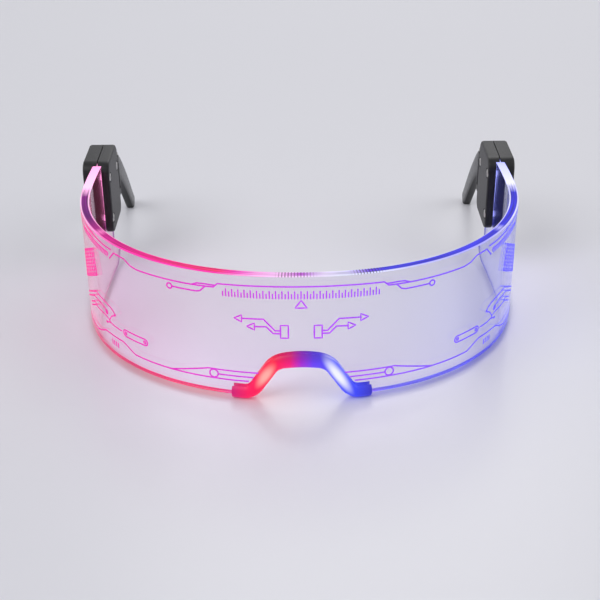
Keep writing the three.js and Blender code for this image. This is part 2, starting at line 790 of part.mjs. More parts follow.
const ledLowerZ = (podTopZ + podBottomZ - ledSpacing) / 2;
const podScrewLength = screwTipX - screwHeadX;
const doorScrewLength = doorScrewHeadX - doorScrewTipX;

const sidePieces = {
  pod_outer_shell: [outerShell(), blackPlastic],
  pod_inner_shell: [innerShell(), blackPlastic],
  battery_door: [batteryDoor(), blackPlastic],
  battery_door_screw: [screwAlongX(doorScrew, doorScrewLength, doorScrewHeadX, doorScrewPlace, true), steel],
  cell_inner: [coinCell(innerCellX), cellSteel],
  cell_outer: [coinCell(outerCellX), cellSteel],
  contact_negative: [negativeContact(), contactSteel],
  contact_positive: [positiveContact(), contactSteel],
  circuit_board: [circuitBoard(), boardLaminate],
  driver_chip: [driverChip(), chipEpoxy],
  led_upper: [lamp(ledLowerZ + ledSpacing), lampResin],
  led_lower: [lamp(ledLowerZ), lampResin],
  switch_body: [switchBody(), switchPlastic],
  switch_stem: [switchStem(), buttonPlastic],
  button: [pushButton(), buttonPlastic],
  hinge_screw: [hingeScrew(), steel],
  arm: [arm(), blackPlastic],
};
for (const [end, place] of Object.entries(podScrews)) {
  sidePieces[`pod_screw_${end}`] = [screwAlongX(podScrew, podScrewLength, screwHeadX, place, false), steel];
}

function piece(name, geometry, finish) {
  const mesh = new THREE.Mesh(geometry, finish);
  mesh.name = name;
  return mesh;
}

const glasses = new THREE.Group();
glasses.add(piece('visor_sheet', visorSheet(), clearAcrylic));
glasses.add(piece('nose_tube', noseTube(), frostedSilicone));
for (const side of ['left', 'right']) {
  const half = new THREE.Group();
  for (const [name, [geometry, finish]] of Object.entries(sidePieces)) {
    half.add(piece(`${side}_${name}`, side === 'left' ? mirrored(geometry) : geometry, finish));
  }
  glasses.add(half);
}

// The origin is the middle of the footprint, on the table
const extent = new THREE.Box3().setFromObject(glasses);
glasses.position.set(0, -(extent.min.y + extent.max.y) / 2, -extent.min.z);

export default glasses;
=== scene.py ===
# %% [markdown]
# # Light-up party glasses
# A clear acrylic visor wraps round the face. Lamps in two black side pods shine into its rear
# edges. The light stays inside the sheet and comes out only where the surface is broken: along
# the cut edges, in the engraved lines, and in the frosted tube over the nose.
# The script works as a maker does: the sheet and its engraving are laid out flat, all of it is
# bent round one line, and then the pods and arms get their finish.

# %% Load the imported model
import math

import bpy
import numpy as np
from mathutils import Matrix, Vector


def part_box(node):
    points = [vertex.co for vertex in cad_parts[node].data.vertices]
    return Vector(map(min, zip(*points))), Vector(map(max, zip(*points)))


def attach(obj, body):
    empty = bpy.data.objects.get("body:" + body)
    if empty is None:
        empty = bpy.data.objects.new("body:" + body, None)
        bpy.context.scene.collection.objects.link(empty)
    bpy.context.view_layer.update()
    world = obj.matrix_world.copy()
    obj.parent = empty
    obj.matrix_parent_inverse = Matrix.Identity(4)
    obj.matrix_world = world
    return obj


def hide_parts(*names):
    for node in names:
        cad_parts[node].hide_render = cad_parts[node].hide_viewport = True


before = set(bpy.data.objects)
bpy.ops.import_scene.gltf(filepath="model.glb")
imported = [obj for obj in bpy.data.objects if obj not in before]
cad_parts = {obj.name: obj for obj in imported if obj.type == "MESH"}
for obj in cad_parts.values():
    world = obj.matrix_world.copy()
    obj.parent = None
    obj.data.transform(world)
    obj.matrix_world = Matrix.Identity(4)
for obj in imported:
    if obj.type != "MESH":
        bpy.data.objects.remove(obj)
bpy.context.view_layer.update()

mm = 0.001
print("pieces from the packed model:", len(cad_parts))

# %% [markdown]
# ## Camera
# The visor's edges in the photograph fix the camera: a long lens, about 28 degrees above the
# table. The lens is worked out from its length in pixels, because that is what the edges give.
# The camera stands in front of the sheet, so its place is measured from the sheet's front. It
# is turned by its own right, up and forward directions, which leaves no doubt about the order
# of the three angles.

# %% Camera
image_width_pixels = 600
lens_pixels = 1216
sensor_width = 36
camera_distance = 321.2 * mm
camera_height = 208.2 * mm
camera_side_step = -1.5 * mm
pitch = math.radians(28.2)
yaw = math.radians(0.21)
roll = math.radians(-0.52)

sheet_low, sheet_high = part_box("visor_sheet")
front_y = sheet_low.y
level_share = math.cos(pitch)
forward = Vector((math.sin(yaw) * level_share, math.cos(yaw) * level_share, -math.sin(pitch)))
level_right = forward.cross(Vector((0, 0, 1))).normalized()
level_up = level_right.cross(forward)
camera_right = level_right * math.cos(roll) + level_up * math.sin(roll)
camera_up = camera_right.cross(forward)

lens = bpy.data.cameras.new("camera")
lens.sensor_width = sensor_width
lens.lens = sensor_width * lens_pixels / image_width_pixels
camera = bpy.data.objects.new("camera", lens)
bpy.context.scene.collection.objects.link(camera)
axes = Matrix((camera_right, camera_up, -forward)).transposed().to_4x4()
place = Vector((camera_side_step, front_y - camera_distance, camera_height))
camera.matrix_world = Matrix.Translation(place) @ axes
bpy.context.scene.camera = camera
print(f"lens {lens.lens:.1f} mm")

# %% [markdown]
# ## Helpers for colours and nodes
# Colours are written as sRGB hex values, as a colour picker shows them, and turned to the
# linear values that shaders use. Nodes could be placed by hand in the editor, but then nobody
# could read how they were made. So one function adds any node: settings by name, and inputs by
# name or number, each given a value, a socket, or a node whose first output it takes. The stops
# of a colour ramp are listed from its low end to its high end.

# %% Helpers for colours and nodes
def linear(colour):
    """The linear red, green, blue and alpha of an sRGB hex value."""
    channels = [int(colour[i:i + 2], 16) / 255 for i in (1, 3, 5)]
    return [c / 12.92 if c <= 0.04045 else ((c + 0.055) / 1.055) ** 2.4 for c in channels] + [1.0]


def feed(node, inputs):
    """Sets or links the inputs of a node that is there already."""
    for key, value in inputs.items():
        if isinstance(value, bpy.types.Node):
            value = value.outputs[0]
        if isinstance(value, bpy.types.NodeSocket):
            node.id_data.links.new(value, node.inputs[key])
        else:
            node.inputs[key].default_value = value


def add(tree, kind, inputs=None, stops=(), **settings):
    """Adds a node with its settings, its inputs and, for a colour ramp, its stops."""
    node = tree.nodes.new(kind)
    for name, value in settings.items():
        setattr(node, name, value)
    feed(node, inputs or {})
    # A new ramp has a lowest and a highest stop already, so the ends come first, then the rest.
    for i, (position, colour) in enumerate([*stops[:1], *stops[-1:], *stops[1:-1]]):
        elements = node.color_ramp.elements
        stop = elements[i] if i < 2 else elements.new(position)
        stop.position = position
        stop.color = linear(colour)
    return node


def new_material(name, colour, **sockets):
    """A material whose uniform values stand on the shader's own sockets."""
    made = bpy.data.materials.new(name)
    made.use_nodes = True
    shader = made.node_tree.nodes["Principled BSDF"]
    values = {socket.replace("_", " "): value for socket, value in sockets.items()}
    feed(shader, {"Base Color": linear(colour), **values})
    return made, made.node_tree, shader


# %% [markdown]
# ## Floor
# The floor is one flat plate under the object. A plate ends in a hard horizon, which a curved
# backdrop or a fade could hide. The fade was chosen, because it holds from every side: far from
# the object the plate takes on the tone of the world behind it. The fade is for what is seen,
# straight, in a gloss or through the clear sheet. The light on the object doesn't change by it.

# %% Rays that are seen
def seen_rays(tree):
    """One for rays that are seen straight, in a gloss or through the glass, and else zero."""
    path = add(tree, "ShaderNodeLightPath").outputs
    seen = path["Is Camera Ray"]
    for other in ("Is Glossy Ray", "Is Transmission Ray"):
        seen = add(tree, "ShaderNodeMath", {0: seen, 1: path[other]}, operation="MAXIMUM")
    return seen


# %% Floor
scene = bpy.context.scene
scene.view_settings.view_transform = "Standard"
backdrop_colour = "#f1f1f5"
backdrop_seen = 0.85
floor_reach = 3.0
floor_drop = 0.05 * mm
fade_start = 0.5
fade_end = 1.6

corners = [(-floor_reach, -floor_reach), (floor_reach, -floor_reach),
           (floor_reach, floor_reach), (-floor_reach, floor_reach)]
floor_mesh = bpy.data.meshes.new("floor")
floor_mesh.from_pydata([(x, y, -floor_drop) for x, y in corners], [], [(0, 1, 2, 3)])
floor = bpy.data.objects.new("floor", floor_mesh)
scene.collection.objects.link(floor)

# Board with satin paint: pale grey, with a soft reflection of the glowing edges above it.
floor_material, tree, shader = new_material(
    "painted_board_satin", "#d9d9df", Roughness=0.3, Specular_IOR_Level=0.4)
where = add(tree, "ShaderNodeTexCoord").outputs["Object"]
away = add(tree, "ShaderNodeVectorMath", {0: where}, operation="LENGTH").outputs["Value"]
fade = add(tree, "ShaderNodeMapRange", {"Value": away, "From Min": fade_start, "From Max": fade_end},
           interpolation_type="SMOOTHSTEP")
shown = add(tree, "ShaderNodeMath", {0: fade, 1: seen_rays(tree)}, operation="MULTIPLY")
haze = add(tree, "ShaderNodeEmission", {"Color": linear(backdrop_colour), "Strength": backdrop_seen})
blend = add(tree, "ShaderNodeMixShader", {0: shown, 1: shader, 2: haze})
feed(tree.nodes["Material Output"], {"Surface": blend})
floor_mesh.materials.append(floor_material)
print(f"floor {2 * floor_reach:.0f} m wide")

# %% [markdown]
# ## World and lamps
# A pale world and three soft area lamps light the object at a plain level, so that a colour
# shows about as it is written. More light would make the background paler, but it would bleach
# the object too, so only what is seen of the world is paler. The key lamp stands on the left,
# the fill evens out the right, and the one at the back draws a bright rim on the black pods.

# %% World and lamps
world_light = 0.5
world = bpy.data.worlds.new("studio")
world.use_nodes = True
scene.world = world
tree = world.node_tree
strength = add(tree, "ShaderNodeMapRange",
               {"Value": seen_rays(tree), "To Min": world_light, "To Max": backdrop_seen})
feed(tree.nodes["Background"], {"Color": linear(backdrop_colour), "Strength": strength})

# Each lamp has its place in metres, its side in metres and its power in watts.
lamps = {
    "key": ((-0.7, -0.6, 0.9), 0.7, 5.5),
    "fill": ((0.9, -0.3, 0.7), 0.8, 3.0),
    "back": ((0.1, 0.8, 0.8), 0.6, 3.0),
}
for name, (spot, size, power) in lamps.items():
    data = bpy.data.lights.new(name, "AREA")
    data.size = size
    data.energy = power
    lamp = bpy.data.objects.new(name, data)
    lamp.location = spot
    lamp.rotation_euler = (-Vector(spot)).to_track_quat("-Z", "Y").to_euler()
    scene.collection.objects.link(lamp)
print("lamps:", ", ".join(lamps))

# %% [markdown]
# ## The plan line
# Seen from above, the sheet's outer face is a fuller curve than a circle at the front, and then
# runs back nearly straight along the temples. A few control points could draw it, but a rule
# is easier to fit to the photograph: a superellipse, and then a very wide arc. Everything that
# is cut or engraved is measured along this line from its middle, as on the flat sheet. The
# helpers turn a distance across the face, or a depth behind the front, into such a length.

# %% Plan line
half_width = 75 * mm
curve_depth = 70 * mm
curve_power = 2.17
side_lean_radius = 310 * mm
sheet_depth = 100 * mm
sheet_thickness = 3 * mm
sheet_bottom = sheet_low.z
sheet_top = sheet_high.z
curve_steps = 240
side_steps = 40

turns = np.linspace(0, math.pi / 2, curve_steps + 1)
curve_x = half_width * np.sin(turns) ** (2 / curve_power)
curve_y = curve_depth * (1 - np.clip(np.cos(turns), 0, 1) ** (2 / curve_power))
side_y = np.linspace(curve_depth, sheet_depth, side_steps + 1)[1:]
side_x = half_width - side_lean_radius + np.sqrt(side_lean_radius ** 2 - (side_y - curve_depth) ** 2)
plan_x = np.concatenate([curve_x, side_x])
plan_y = np.concatenate([curve_y, side_y])
plan_along = np.concatenate([[0], np.cumsum(np.hypot(np.diff(plan_x), np.diff(plan_y)))])
half_length = plan_along[-1]
print(f"flat sheet {2 * half_length / mm:.0f} mm long, {(sheet_top - sheet_bottom) / mm:.0f} mm high")

# %% Lengths along the plan line
def along_from_x(x):
    return float(np.sign(x) * np.interp(abs(x), curve_x, plan_along[:curve_steps + 1]))


def along_from_depth(depth):
    return float(np.interp(depth, plan_y, plan_along))


def x_from_along(along):
    return float(np.sign(along) * np.interp(abs(along), plan_along, plan_x))


print(f"the bend ends {along_from_depth(curve_depth) / mm:.0f} mm from the middle, along the sheet")

# %% The plan line as a construction line
def flat_line(name, points, closed=False):
    """A construction line of straight steps for a tree to read. It is removed at the end."""
    curve = bpy.data.curves.new(name, "CURVE")
    curve.dimensions = "3D"
    spline = curve.splines.new("POLY")
    spline.points.add(len(points) - 1)
    spline.use_cyclic_u = closed
    for point, (x, y) in zip(spline.points, points):
        point.co = (x, y, 0, 1)
    made = bpy.data.objects.new(name, curve)
    scene.collection.objects.link(made)
    return made


right_plan = [(x, y + front_y) for x, y in zip(plan_x, plan_y)]
left_plan = [(-x, y) for x, y in reversed(right_plan[1:])]
plan_line = flat_line("plan_line", left_plan + right_plan)
print(f"plan line: {len(left_plan + right_plan)} points")

# %% [markdown]
# ## Bending with Geometry Nodes
# The same bend is needed for the sheet, its engraving and the nose tube. A Curve modifier could
# bend them, but a node group can also stand inside the trees that make them, and it keeps each
# point's length and depth as attributes, which the light's colour follows.
# A point's X is its length along the plan line, Y is how deep it lies behind the outer face,
# and Z is its height. Sample Curve gives the place and the direction of the line at that
# length, and a quarter turn from that direction is inwards.

# %% Bend node group
def new_tree(name, **sockets):
    """A geometry tree with named inputs, and the outputs of its Group Input node."""
    made = bpy.data.node_groups.new(name, "GeometryNodeTree")
    made.interface.new_socket(name="Geometry", in_out="INPUT", socket_type="NodeSocketGeometry")
    for socket, kind in sockets.items():
        socket_name = socket.replace("_", " ")
        made.interface.new_socket(name=socket_name, in_out="INPUT", socket_type="NodeSocket" + kind)
    made.interface.new_socket(name="Geometry", in_out="OUTPUT", socket_type="NodeSocketGeometry")
    return made, made.nodes.new("NodeGroupInput").outputs


bend, given = new_tree("bend_round_plan_line", Plan_line="Object", Half_length="Float")
position = add(bend, "GeometryNodeInputPosition")
flat = add(bend, "ShaderNodeSeparateXYZ", {0: position}).outputs
kept = given["Geometry"]
for name, axis in (("along", "X"), ("deep", "Y")):
    kept = add(bend, "GeometryNodeStoreNamedAttribute",
               {"Geometry": kept, "Name": name, "Value": flat[axis]}, domain="POINT")
length = add(bend, "ShaderNodeMath", {0: flat["X"], 1: given["Half length"]}, operation="ADD")
line = add(bend, "GeometryNodeObjectInfo", {"Object": given["Plan line"]}, transform_space="ORIGINAL")
spot = add(bend, "GeometryNodeSampleCurve", {"Curves": line.outputs["Geometry"], "Length": length},
           mode="LENGTH", use_all_curves=True).outputs
upright = add(bend, "ShaderNodeCombineXYZ", {"Z": 1.0})
inwards = add(bend, "ShaderNodeVectorMath", {0: upright, 1: spot["Tangent"]}, operation="CROSS_PRODUCT")
depth = add(bend, "ShaderNodeVectorMath", {0: inwards, "Scale": flat["Y"]}, operation="SCALE")
base = add(bend, "ShaderNodeVectorMath", {0: spot["Position"], 1: depth}, operation="ADD")
height = add(bend, "ShaderNodeCombineXYZ", {"Z": flat["Z"]})
bent = add(bend, "ShaderNodeVectorMath", {0: base, 1: height}, operation="ADD")
moved = add(bend, "GeometryNodeSetPosition", {"Geometry": kept, "Position": bent})
add(bend, "NodeGroupOutput", {"Geometry": moved})
print("nodes in the bend:", len(bend.nodes))

# %% [markdown]
# A tree is run as a modifier. Its inputs are set by their identifiers before Blender first
# evaluates the object. The result is then kept as a plain mesh, because later steps measure it
# and move its points, which they can't do while a modifier makes them.

# %% Run a tree and keep its mesh
def new_object(name, vertices, edges=(), faces=()):
    mesh = bpy.data.meshes.new(name)
    mesh.from_pydata(vertices, edges, faces)
    made = bpy.data.objects.new(name, mesh)
    scene.collection.objects.link(made)
    return made


def run_tree(obj, tree, **values):
    """Puts a tree on an object, with the values of its named inputs."""
    modifier = obj.modifiers.new(tree.name, "NODES")
    modifier.node_group = tree
    for item in tree.interface.items_tree:
        key = item.name.replace(" ", "_")
        if item.in_out == "INPUT" and key in values:
            modifier[item.identifier] = values[key]


def keep_mesh(obj):
    """Replaces an object's mesh by what its modifiers make of it."""
    depsgraph = bpy.context.evaluated_depsgraph_get()
    mesh = bpy.data.meshes.new_from_object(obj.evaluated_get(depsgraph), depsgraph=depsgraph)
    obj.modifiers.clear()
    obj.data = mesh
    mesh.name = obj.name
    triangles = sum(len(p.vertices) - 2 for p in mesh.polygons)
    print(f"{obj.name}: {triangles} triangles")
    return obj


# %% [markdown]
# ## The nose line
# The cut-out over the nose is a run of arcs: feet that turn up, straight flanks, round
# shoulders and a flat crown. A free curve could be drawn over the photograph, but a maker
# gives radii, and arcs stay smooth when the line is moved to one side. The tube's middle
# follows the line, and the sheet's edge lies a little below it, inside the tube's slit.

# %% Nose line
tube_radius = 2.54 * mm
tube_half_span = 21.8 * mm
edge_below_tube_middle = 1.05 * mm
tube_middle_z = sheet_bottom + edge_below_tube_middle
nose_rise = 12.6 * mm
crown_radius = 26 * mm
crown_half_angle = math.radians(12)
shoulder_radius = 7.5 * mm
foot_radius = 4.6 * mm
flank_angle = math.radians(57)
crown_z = tube_middle_z + nose_rise - crown_radius
shoulder_x = (crown_radius - shoulder_radius) * math.sin(crown_half_angle)
shoulder_z = crown_z + (crown_radius - shoulder_radius) * math.cos(crown_half_angle)
foot_z = tube_middle_z + foot_radius
arc_reach = shoulder_radius + foot_radius
# The straight flank touches both arcs, which gives its length and then the foot's place.
flank = (shoulder_z - foot_z + arc_reach * math.cos(flank_angle)) / math.sin(flank_angle)
foot_x = shoulder_x + arc_reach * math.sin(flank_angle) + flank * math.cos(flank_angle)


def nose_line(offset, steps):
    """The right half of the line from the crown to the foot, moved up from the nose by an offset."""
    crown_end = math.pi / 2 - crown_half_angle
    arcs = [
        ((0, crown_z), crown_radius + offset, math.pi / 2, crown_end),
        ((shoulder_x, shoulder_z), shoulder_radius + offset, crown_end, math.pi / 2 - flank_angle),
        ((foot_x, foot_z), foot_radius - offset, -math.pi / 2 - flank_angle, -math.pi / 2),
    ]
    points = []
    for (x, z), radius, start, end in arcs:
        for turn in np.linspace(start, end, steps + 1):
            points.append((x + radius * math.cos(turn), z + radius * math.sin(turn)))
    return points


print(f"cut-out {2 * foot_x / mm:.0f} mm wide at its feet, {nose_rise / mm:.1f} mm high")

# %% [markdown]
# ## The visor sheet
# One sheet of 3 mm cast acrylic. It could be one outline made thick by Solidify, but the bend
# needs points all along it. So the mesh is a row of upright rings: each runs round the sheet's
# section, from the bottom edge up the outer face and down the inner one. The corners of the
# edge are a little round, because cut acrylic is flamed to clear it. The faces between the two
# corners of an edge get the glowing finish. At the rear a step leaves room for the pod.

# %% Section of the flat sheet
corner = 0.3 * mm
corner_steps = 3
lamp_edge_depth = 92.2 * mm
shelf_z = 17.1 * mm
step_length = 0.2 * mm
tail_corner = 6 * mm
nose_edge_steps = 10
nose_edge = nose_line(-edge_below_tube_middle, nose_edge_steps)
edge_x = [x for x, _ in nose_edge]
edge_z = [z for _, z in nose_edge]
lamp_edge_along = along_from_depth(lamp_edge_depth)


def bottom_of(along):
    """The height of the low edge: the cut-out, the straight run, and the round corner at the rear."""
    x = x_from_along(abs(along))
    if x < foot_x:
        return float(np.interp(x, edge_x, edge_z))
    into_corner = min(max(abs(along) - (half_length - tail_corner), 0), tail_corner)
    return sheet_bottom + tail_corner - math.sqrt(tail_corner ** 2 - into_corner ** 2)


def top_of(along):
    """The height of the top edge, which steps down to a shelf inside the pod."""
    return sheet_top if abs(along) < lamp_edge_along + step_length / 2 else shelf_z


def ring(low, high):
    """The section's points (depth, height), with a small round at each of its four corners."""
    inner = sheet_thickness - corner
    # Each corner has the centre of its round, and the direction in degrees in which it starts.
    centres = [(corner, high - corner, 180), (inner, high - corner, 90),
               (inner, low + corner, 0), (corner, low + corner, -90)]
    points = []
    for y, z, start in centres:
        for k in range(corner_steps + 1):
            turn = math.radians(start - 90 * k / corner_steps)
            points.append((y + corner * math.cos(turn), z + corner * math.sin(turn)))
    return points


# %% Flat sheet
column_step = 1.0 * mm
least_step = 0.15 * mm
tail_steps = 9
tail_share = 0.94
# Rings stand a millimetre apart, and closer along the cut-out and round the rear corner.
columns = set(np.arange(0, lamp_edge_along, column_step))
columns |= {along_from_x(x) for x in edge_x}
columns |= {lamp_edge_along, lamp_edge_along + step_length, half_length}
for turn in np.linspace(0, math.pi / 2 * tail_share, tail_steps):
    columns.add(half_length - tail_corner * (1 - math.sin(turn)))
ordered = sorted(c for c in columns if c >= 0)
half_columns = [c for c, after in zip(ordered, ordered[1:]) if after - c > least_step] + ordered[-1:]
alongs = [-c for c in reversed(half_columns[1:])] + half_columns

clear_finish = 0
edge_finish = 1
per_ring = 4 * (corner_steps + 1)
wide_faces = (per_ring - 1, per_ring // 2 - 1)
vertices = []
for along in alongs:
    vertices += [(along, y, z) for y, z in ring(bottom_of(along), top_of(along))]
faces = []
face_finishes = []
for i in range(len(alongs) - 1):
    for k in range(per_ring):
        a = i * per_ring + k
        b = i * per_ring + (k + 1) % per_ring
        faces.append((a, a + per_ring, b + per_ring, b))
        face_finishes.append(clear_finish if k in wide_faces else edge_finish)
last = (len(alongs) - 1) * per_ring
faces += [tuple(range(per_ring)), tuple(last + k for k in reversed(range(per_ring)))]
face_finishes += [edge_finish, edge_finish]
sheet = new_object("clear_visor", vertices, [], faces)
for polygon, finish in zip(sheet.data.polygons, face_finishes):
    polygon.material_index = finish
    polygon.use_smooth = True
print(f"flat sheet: {len(alongs)} rings, area {sum(p.area for p in sheet.data.polygons) / mm / mm:.0f} mm2")

# %% [markdown]
# ## Screw holes
# Two screws of each pod pass through the sheet. It could be modelled with openings, but a
# maker drills it while it is still flat, and so does this cell: a Boolean modifier takes four
# drill-sized cylinders out, and its result is kept. The holes' walls glow as the edges do.

# %% Drill the screw holes
hole_radius = 1.1 * mm
hole_sides = 24
hole_depth = 89.6 * mm
hole_heights = (39.4 * mm, 23.4 * mm)
drill_vertices = []
drill_faces = []
for side in (-1, 1):
    for hole_z in hole_heights:
        first = len(drill_vertices)
        for k in range(hole_sides):
            turn = 2 * math.pi * k / hole_sides
            x = side * along_from_depth(hole_depth) + hole_radius * math.cos(turn)
            z = hole_z + hole_radius * math.sin(turn)
            drill_vertices += [(x, -sheet_thickness, z), (x, 2 * sheet_thickness, z)]
        for k in range(hole_sides):
            a = first + 2 * k
            b = first + 2 * ((k + 1) % hole_sides)
            drill_faces.append((a, a + 1, b + 1, b))
        drill_faces.append(tuple(first + 2 * k for k in range(hole_sides)))
        drill_faces.append(tuple(first + 2 * k + 1 for k in reversed(range(hole_sides))))
drill = new_object("drill", drill_vertices, [], drill_faces)
for polygon in drill.data.polygons:
    polygon.material_index = edge_finish
drilled = sheet.modifiers.new("drilled", "BOOLEAN")
drilled.operation = "DIFFERENCE"
drilled.solver = "EXACT"
drilled.object = drill
keep_mesh(sheet)
bpy.data.objects.remove(drill)

# %% [markdown]
# ## Clear acrylic
# Cast acrylic passes 92% of the light and has an index of 1.49. Lit from its ends it keeps a
# weak haze of colour, red on the left and blue on the right, and most of it at the bends, where
# the light strikes the surface. A volume could make the haze, but it is slow and grainy, so a
# weak glow of the surface stands for it. Fine wiping scratches scatter a little more. A shadow
# ray passes, since clear sheet casts hardly any shadow, and glass would else cast a dark one.

# %% Clear acrylic
# Acrylic, cast between glass plates: colourless and as smooth as glass, with fine wiping marks.
clear, tree, shader = new_material(
    "acrylic_cast_clear", "#f4eff8", Roughness=0.03, IOR=1.49, Transmission_Weight=1.0)
where = add(tree, "ShaderNodeTexCoord").outputs["Object"]
across = add(tree, "ShaderNodeSeparateXYZ", {0: where}).outputs["X"]
side_share = add(tree, "ShaderNodeMapRange",
                 {"Value": across, "From Min": -half_width, "From Max": half_width})
# Painted lamp light: the colourless sheet's base colour is tinted pink on the left and blue on the right,
# after the lamps' light inside it.
painted_lamp_tint = add(tree, "ShaderNodeValToRGB", {"Fac": side_share},
           stops=[(0, "#fbe3f1"), (0.3, "#f7f0f8"), (0.7, "#f1f0fa"), (1, "#e4e6fd")])
haze_colour = add(tree, "ShaderNodeValToRGB", {"Fac": side_share},
                  stops=[(0, "#ff2f86"), (0.5, "#a050f0"), (1, "#3a48ff")])
kept_along = add(tree, "ShaderNodeAttribute", attribute_name="along").outputs["Fac"]
off_centre = add(tree, "ShaderNodeMath", {0: kept_along}, operation="ABSOLUTE")
to_end = add(tree, "ShaderNodeMapRange", {"Value": off_centre, "From Max": half_length})
haze = add(tree, "ShaderNodeValToRGB", {"Fac": to_end},
           stops=[(0, "#000000"), (0.5, "#080808"), (0.67, "#525252"), (0.78, "#282828"), (1, "#303030")])

# Scratches lie level. Drawn coarser than real ones, so that they show, they are 3.3 mm long and
# 0.4 mm apart, which makes this many to the metre.
scratches_per_metre = (300.0, 300.0, 2600.0)
stretched = add(tree, "ShaderNodeMapping", {"Vector": where, "Scale": scratches_per_metre})
scratches = add(tree, "ShaderNodeTexNoise", {"Vector": stretched, "Scale": 1.0, "Detail": 3.0})
wiped = add(tree, "ShaderNodeMapRange", {
    "Value": scratches, "From Min": 0.55, "From Max": 0.8, "To Min": 0.015, "To Max": 0.09})
feed(shader, {"Base Color": painted_lamp_tint, "Emission Color": haze_colour, "Emission Strength": haze,
              "Roughness": wiped})
path = add(tree, "ShaderNodeLightPath").outputs
passing = add(tree, "ShaderNodeBsdfTransparent", {"Color": linear("#efe9f6")})
mixed = add(tree, "ShaderNodeMixShader", {0: path["Is Shadow Ray"], 1: shader, 2: passing})
feed(tree.nodes["Material Output"], {"Surface": mixed})
print("made", clear.name)

# %% [markdown]
# ## Glowing cut edge: colours
# A cut edge lets out the light that has run along inside the sheet, in each lamp's colour:
# magenta from the left, blue from the right, lilac where they meet. It is paler beside the
# lamps, at the bends, 76 mm from the middle, and on both sides of the middle, where rays leave
# the sheet steeply. Lamps inside the sheet would need very many light paths, so the edge itself
# glows. Its colour follows the length along the sheet, which the bend keeps as an attribute.

# %% Colours of the cut edge
def along_sheet(colours):
    """Ramp stops from colours at lengths from the sheet's middle, in millimetres."""
    return [((length * mm + half_length) / (2 * half_length), colour)
            for length, colour in colours.items()]


def off_middle(greys):
    """Ramp stops from greys at lengths to either side of the middle, in millimetres."""
    return [(length * mm / half_length, grey) for length, grey in greys.items()]


# Acrylic, sawn and flamed: dark where no light comes, and glowing where it leaves the sheet.
edge_glow, tree, shader = new_material(
    "acrylic_saw_cut_edge_glowing", "#10040f", Roughness=0.25, Specular_IOR_Level=0.06)
kept_along = add(tree, "ShaderNodeAttribute", attribute_name="along").outputs["Fac"]
kept_deep = add(tree, "ShaderNodeAttribute", attribute_name="deep").outputs["Fac"]
share = add(tree, "ShaderNodeMapRange", {
    "Value": kept_along, "From Min": -half_length, "From Max": half_length})
top_light = add(tree, "ShaderNodeValToRGB", {"Fac": share}, stops=along_sheet({
    -146: "#a0148c", -90: "#6c0f76", -58: "#ea0a8c", -26: "#ec0c64", -16: "#f030d0", 2: "#b040d0",
    26: "#2828d4", 58: "#2e2ce0", 146: "#2220c8"}))
low_light = add(tree, "ShaderNodeValToRGB", {"Fac": share}, stops=along_sheet({
    -146: "#6c2a86", -96: "#d81464", -28: "#f01e5e", 0: "#a834dc", 28: "#4a40ea", 96: "#262ce2",
    146: "#3a34a8"}))
rim_light = add(tree, "ShaderNodeValToRGB", {"Fac": share}, stops=along_sheet({
    -146: "#ff90d4", -100: "#ffc4ee", -62: "#ff44b6", -26: "#ff2fb0", -9: "#ffc8fa", 12: "#e6e8ff",
    60: "#aeacff", 100: "#e0deff", 146: "#9098ff"}))
from_centre = add(tree, "ShaderNodeMath", {0: kept_along}, operation="ABSOLUTE")
half_share = add(tree, "ShaderNodeMapRange", {"Value": from_centre, "From Max": half_length})
pale_places = add(tree, "ShaderNodeValToRGB", {"Fac": half_share}, stops=off_middle({
    0: "#404040", 7: "#f0f0f0", 14: "#e0e0e0", 21: "#000000", 73: "#000000", 76: "#e0e0e0",
    79: "#000000", 107: "#000000", 113: "#ffffff"}) + [(1, "#ffffff")])
top_light = add(tree, "ShaderNodeMixRGB", {0: pale_places, 1: top_light, 2: rim_light})
print("made", edge_glow.name)

# %% [markdown]
# ## Glowing cut edge: its parts
# The low edge is a plainer colour than the top one. It could have a material of its own, but
# both come from one saw cut, so the height picks the colour, with the change hidden in the pods.
# The two corners of an edge are paler than its middle, because a flamed corner lets out more
# light, so the depth behind the outer face picks between middle and corner.

# %% Top edge, low edge and corners
all_high_z = 22 * mm
all_low_z = 18 * mm
rim_start = 0.95 * mm
rim_full = 1.2 * mm
low_rim_paleness = 0.2
where = add(tree, "ShaderNodeTexCoord").outputs["Object"]
height = add(tree, "ShaderNodeSeparateXYZ", {0: where}).outputs["Z"]
is_low = add(tree, "ShaderNodeMapRange", {"Value": height, "From Min": all_high_z, "From Max": all_low_z})
is_high = add(tree, "ShaderNodeMath", {0: 1.0, 1: is_low}, operation="SUBTRACT")
middle = add(tree, "ShaderNodeMixRGB", {0: is_low, 1: top_light, 2: low_light})
off_middle_plane = add(tree, "ShaderNodeMath", {0: kept_deep, 1: sheet_thickness / 2}, operation="SUBTRACT")
off_middle_plane = add(tree, "ShaderNodeMath", {0: off_middle_plane}, operation="ABSOLUTE")
rim = add(tree, "ShaderNodeMapRange",
          {"Value": off_middle_plane, "From Min": rim_start, "From Max": rim_full},
          interpolation_type="SMOOTHSTEP")
low_rim = add(tree, "ShaderNodeMixRGB", {0: low_rim_paleness, 1: low_light, 2: rim_light})
rims = add(tree, "ShaderNodeMixRGB", {0: is_low, 1: rim_light, 2: low_rim})
glow = add(tree, "ShaderNodeMixRGB", {0: rim, 1: middle, 2: rims})
feed(shader, {"Emission Color": glow})
print(f"corners glow from {rim_start / mm:.2f} mm off the middle")

# %% [markdown]
# ## Glowing cut edge: strength
# Streaks from the saw run lengthwise between the corners. Close to the pods the top edge is
# nearly white, and this brighter stretch begins in a ragged line. Near the middle of the top
# edge the engraved scale shows through it from below as fine dark ticks. Each of these could be
# painted into the colours. They are made as steps of the strength, so that one can be changed
# without the others.

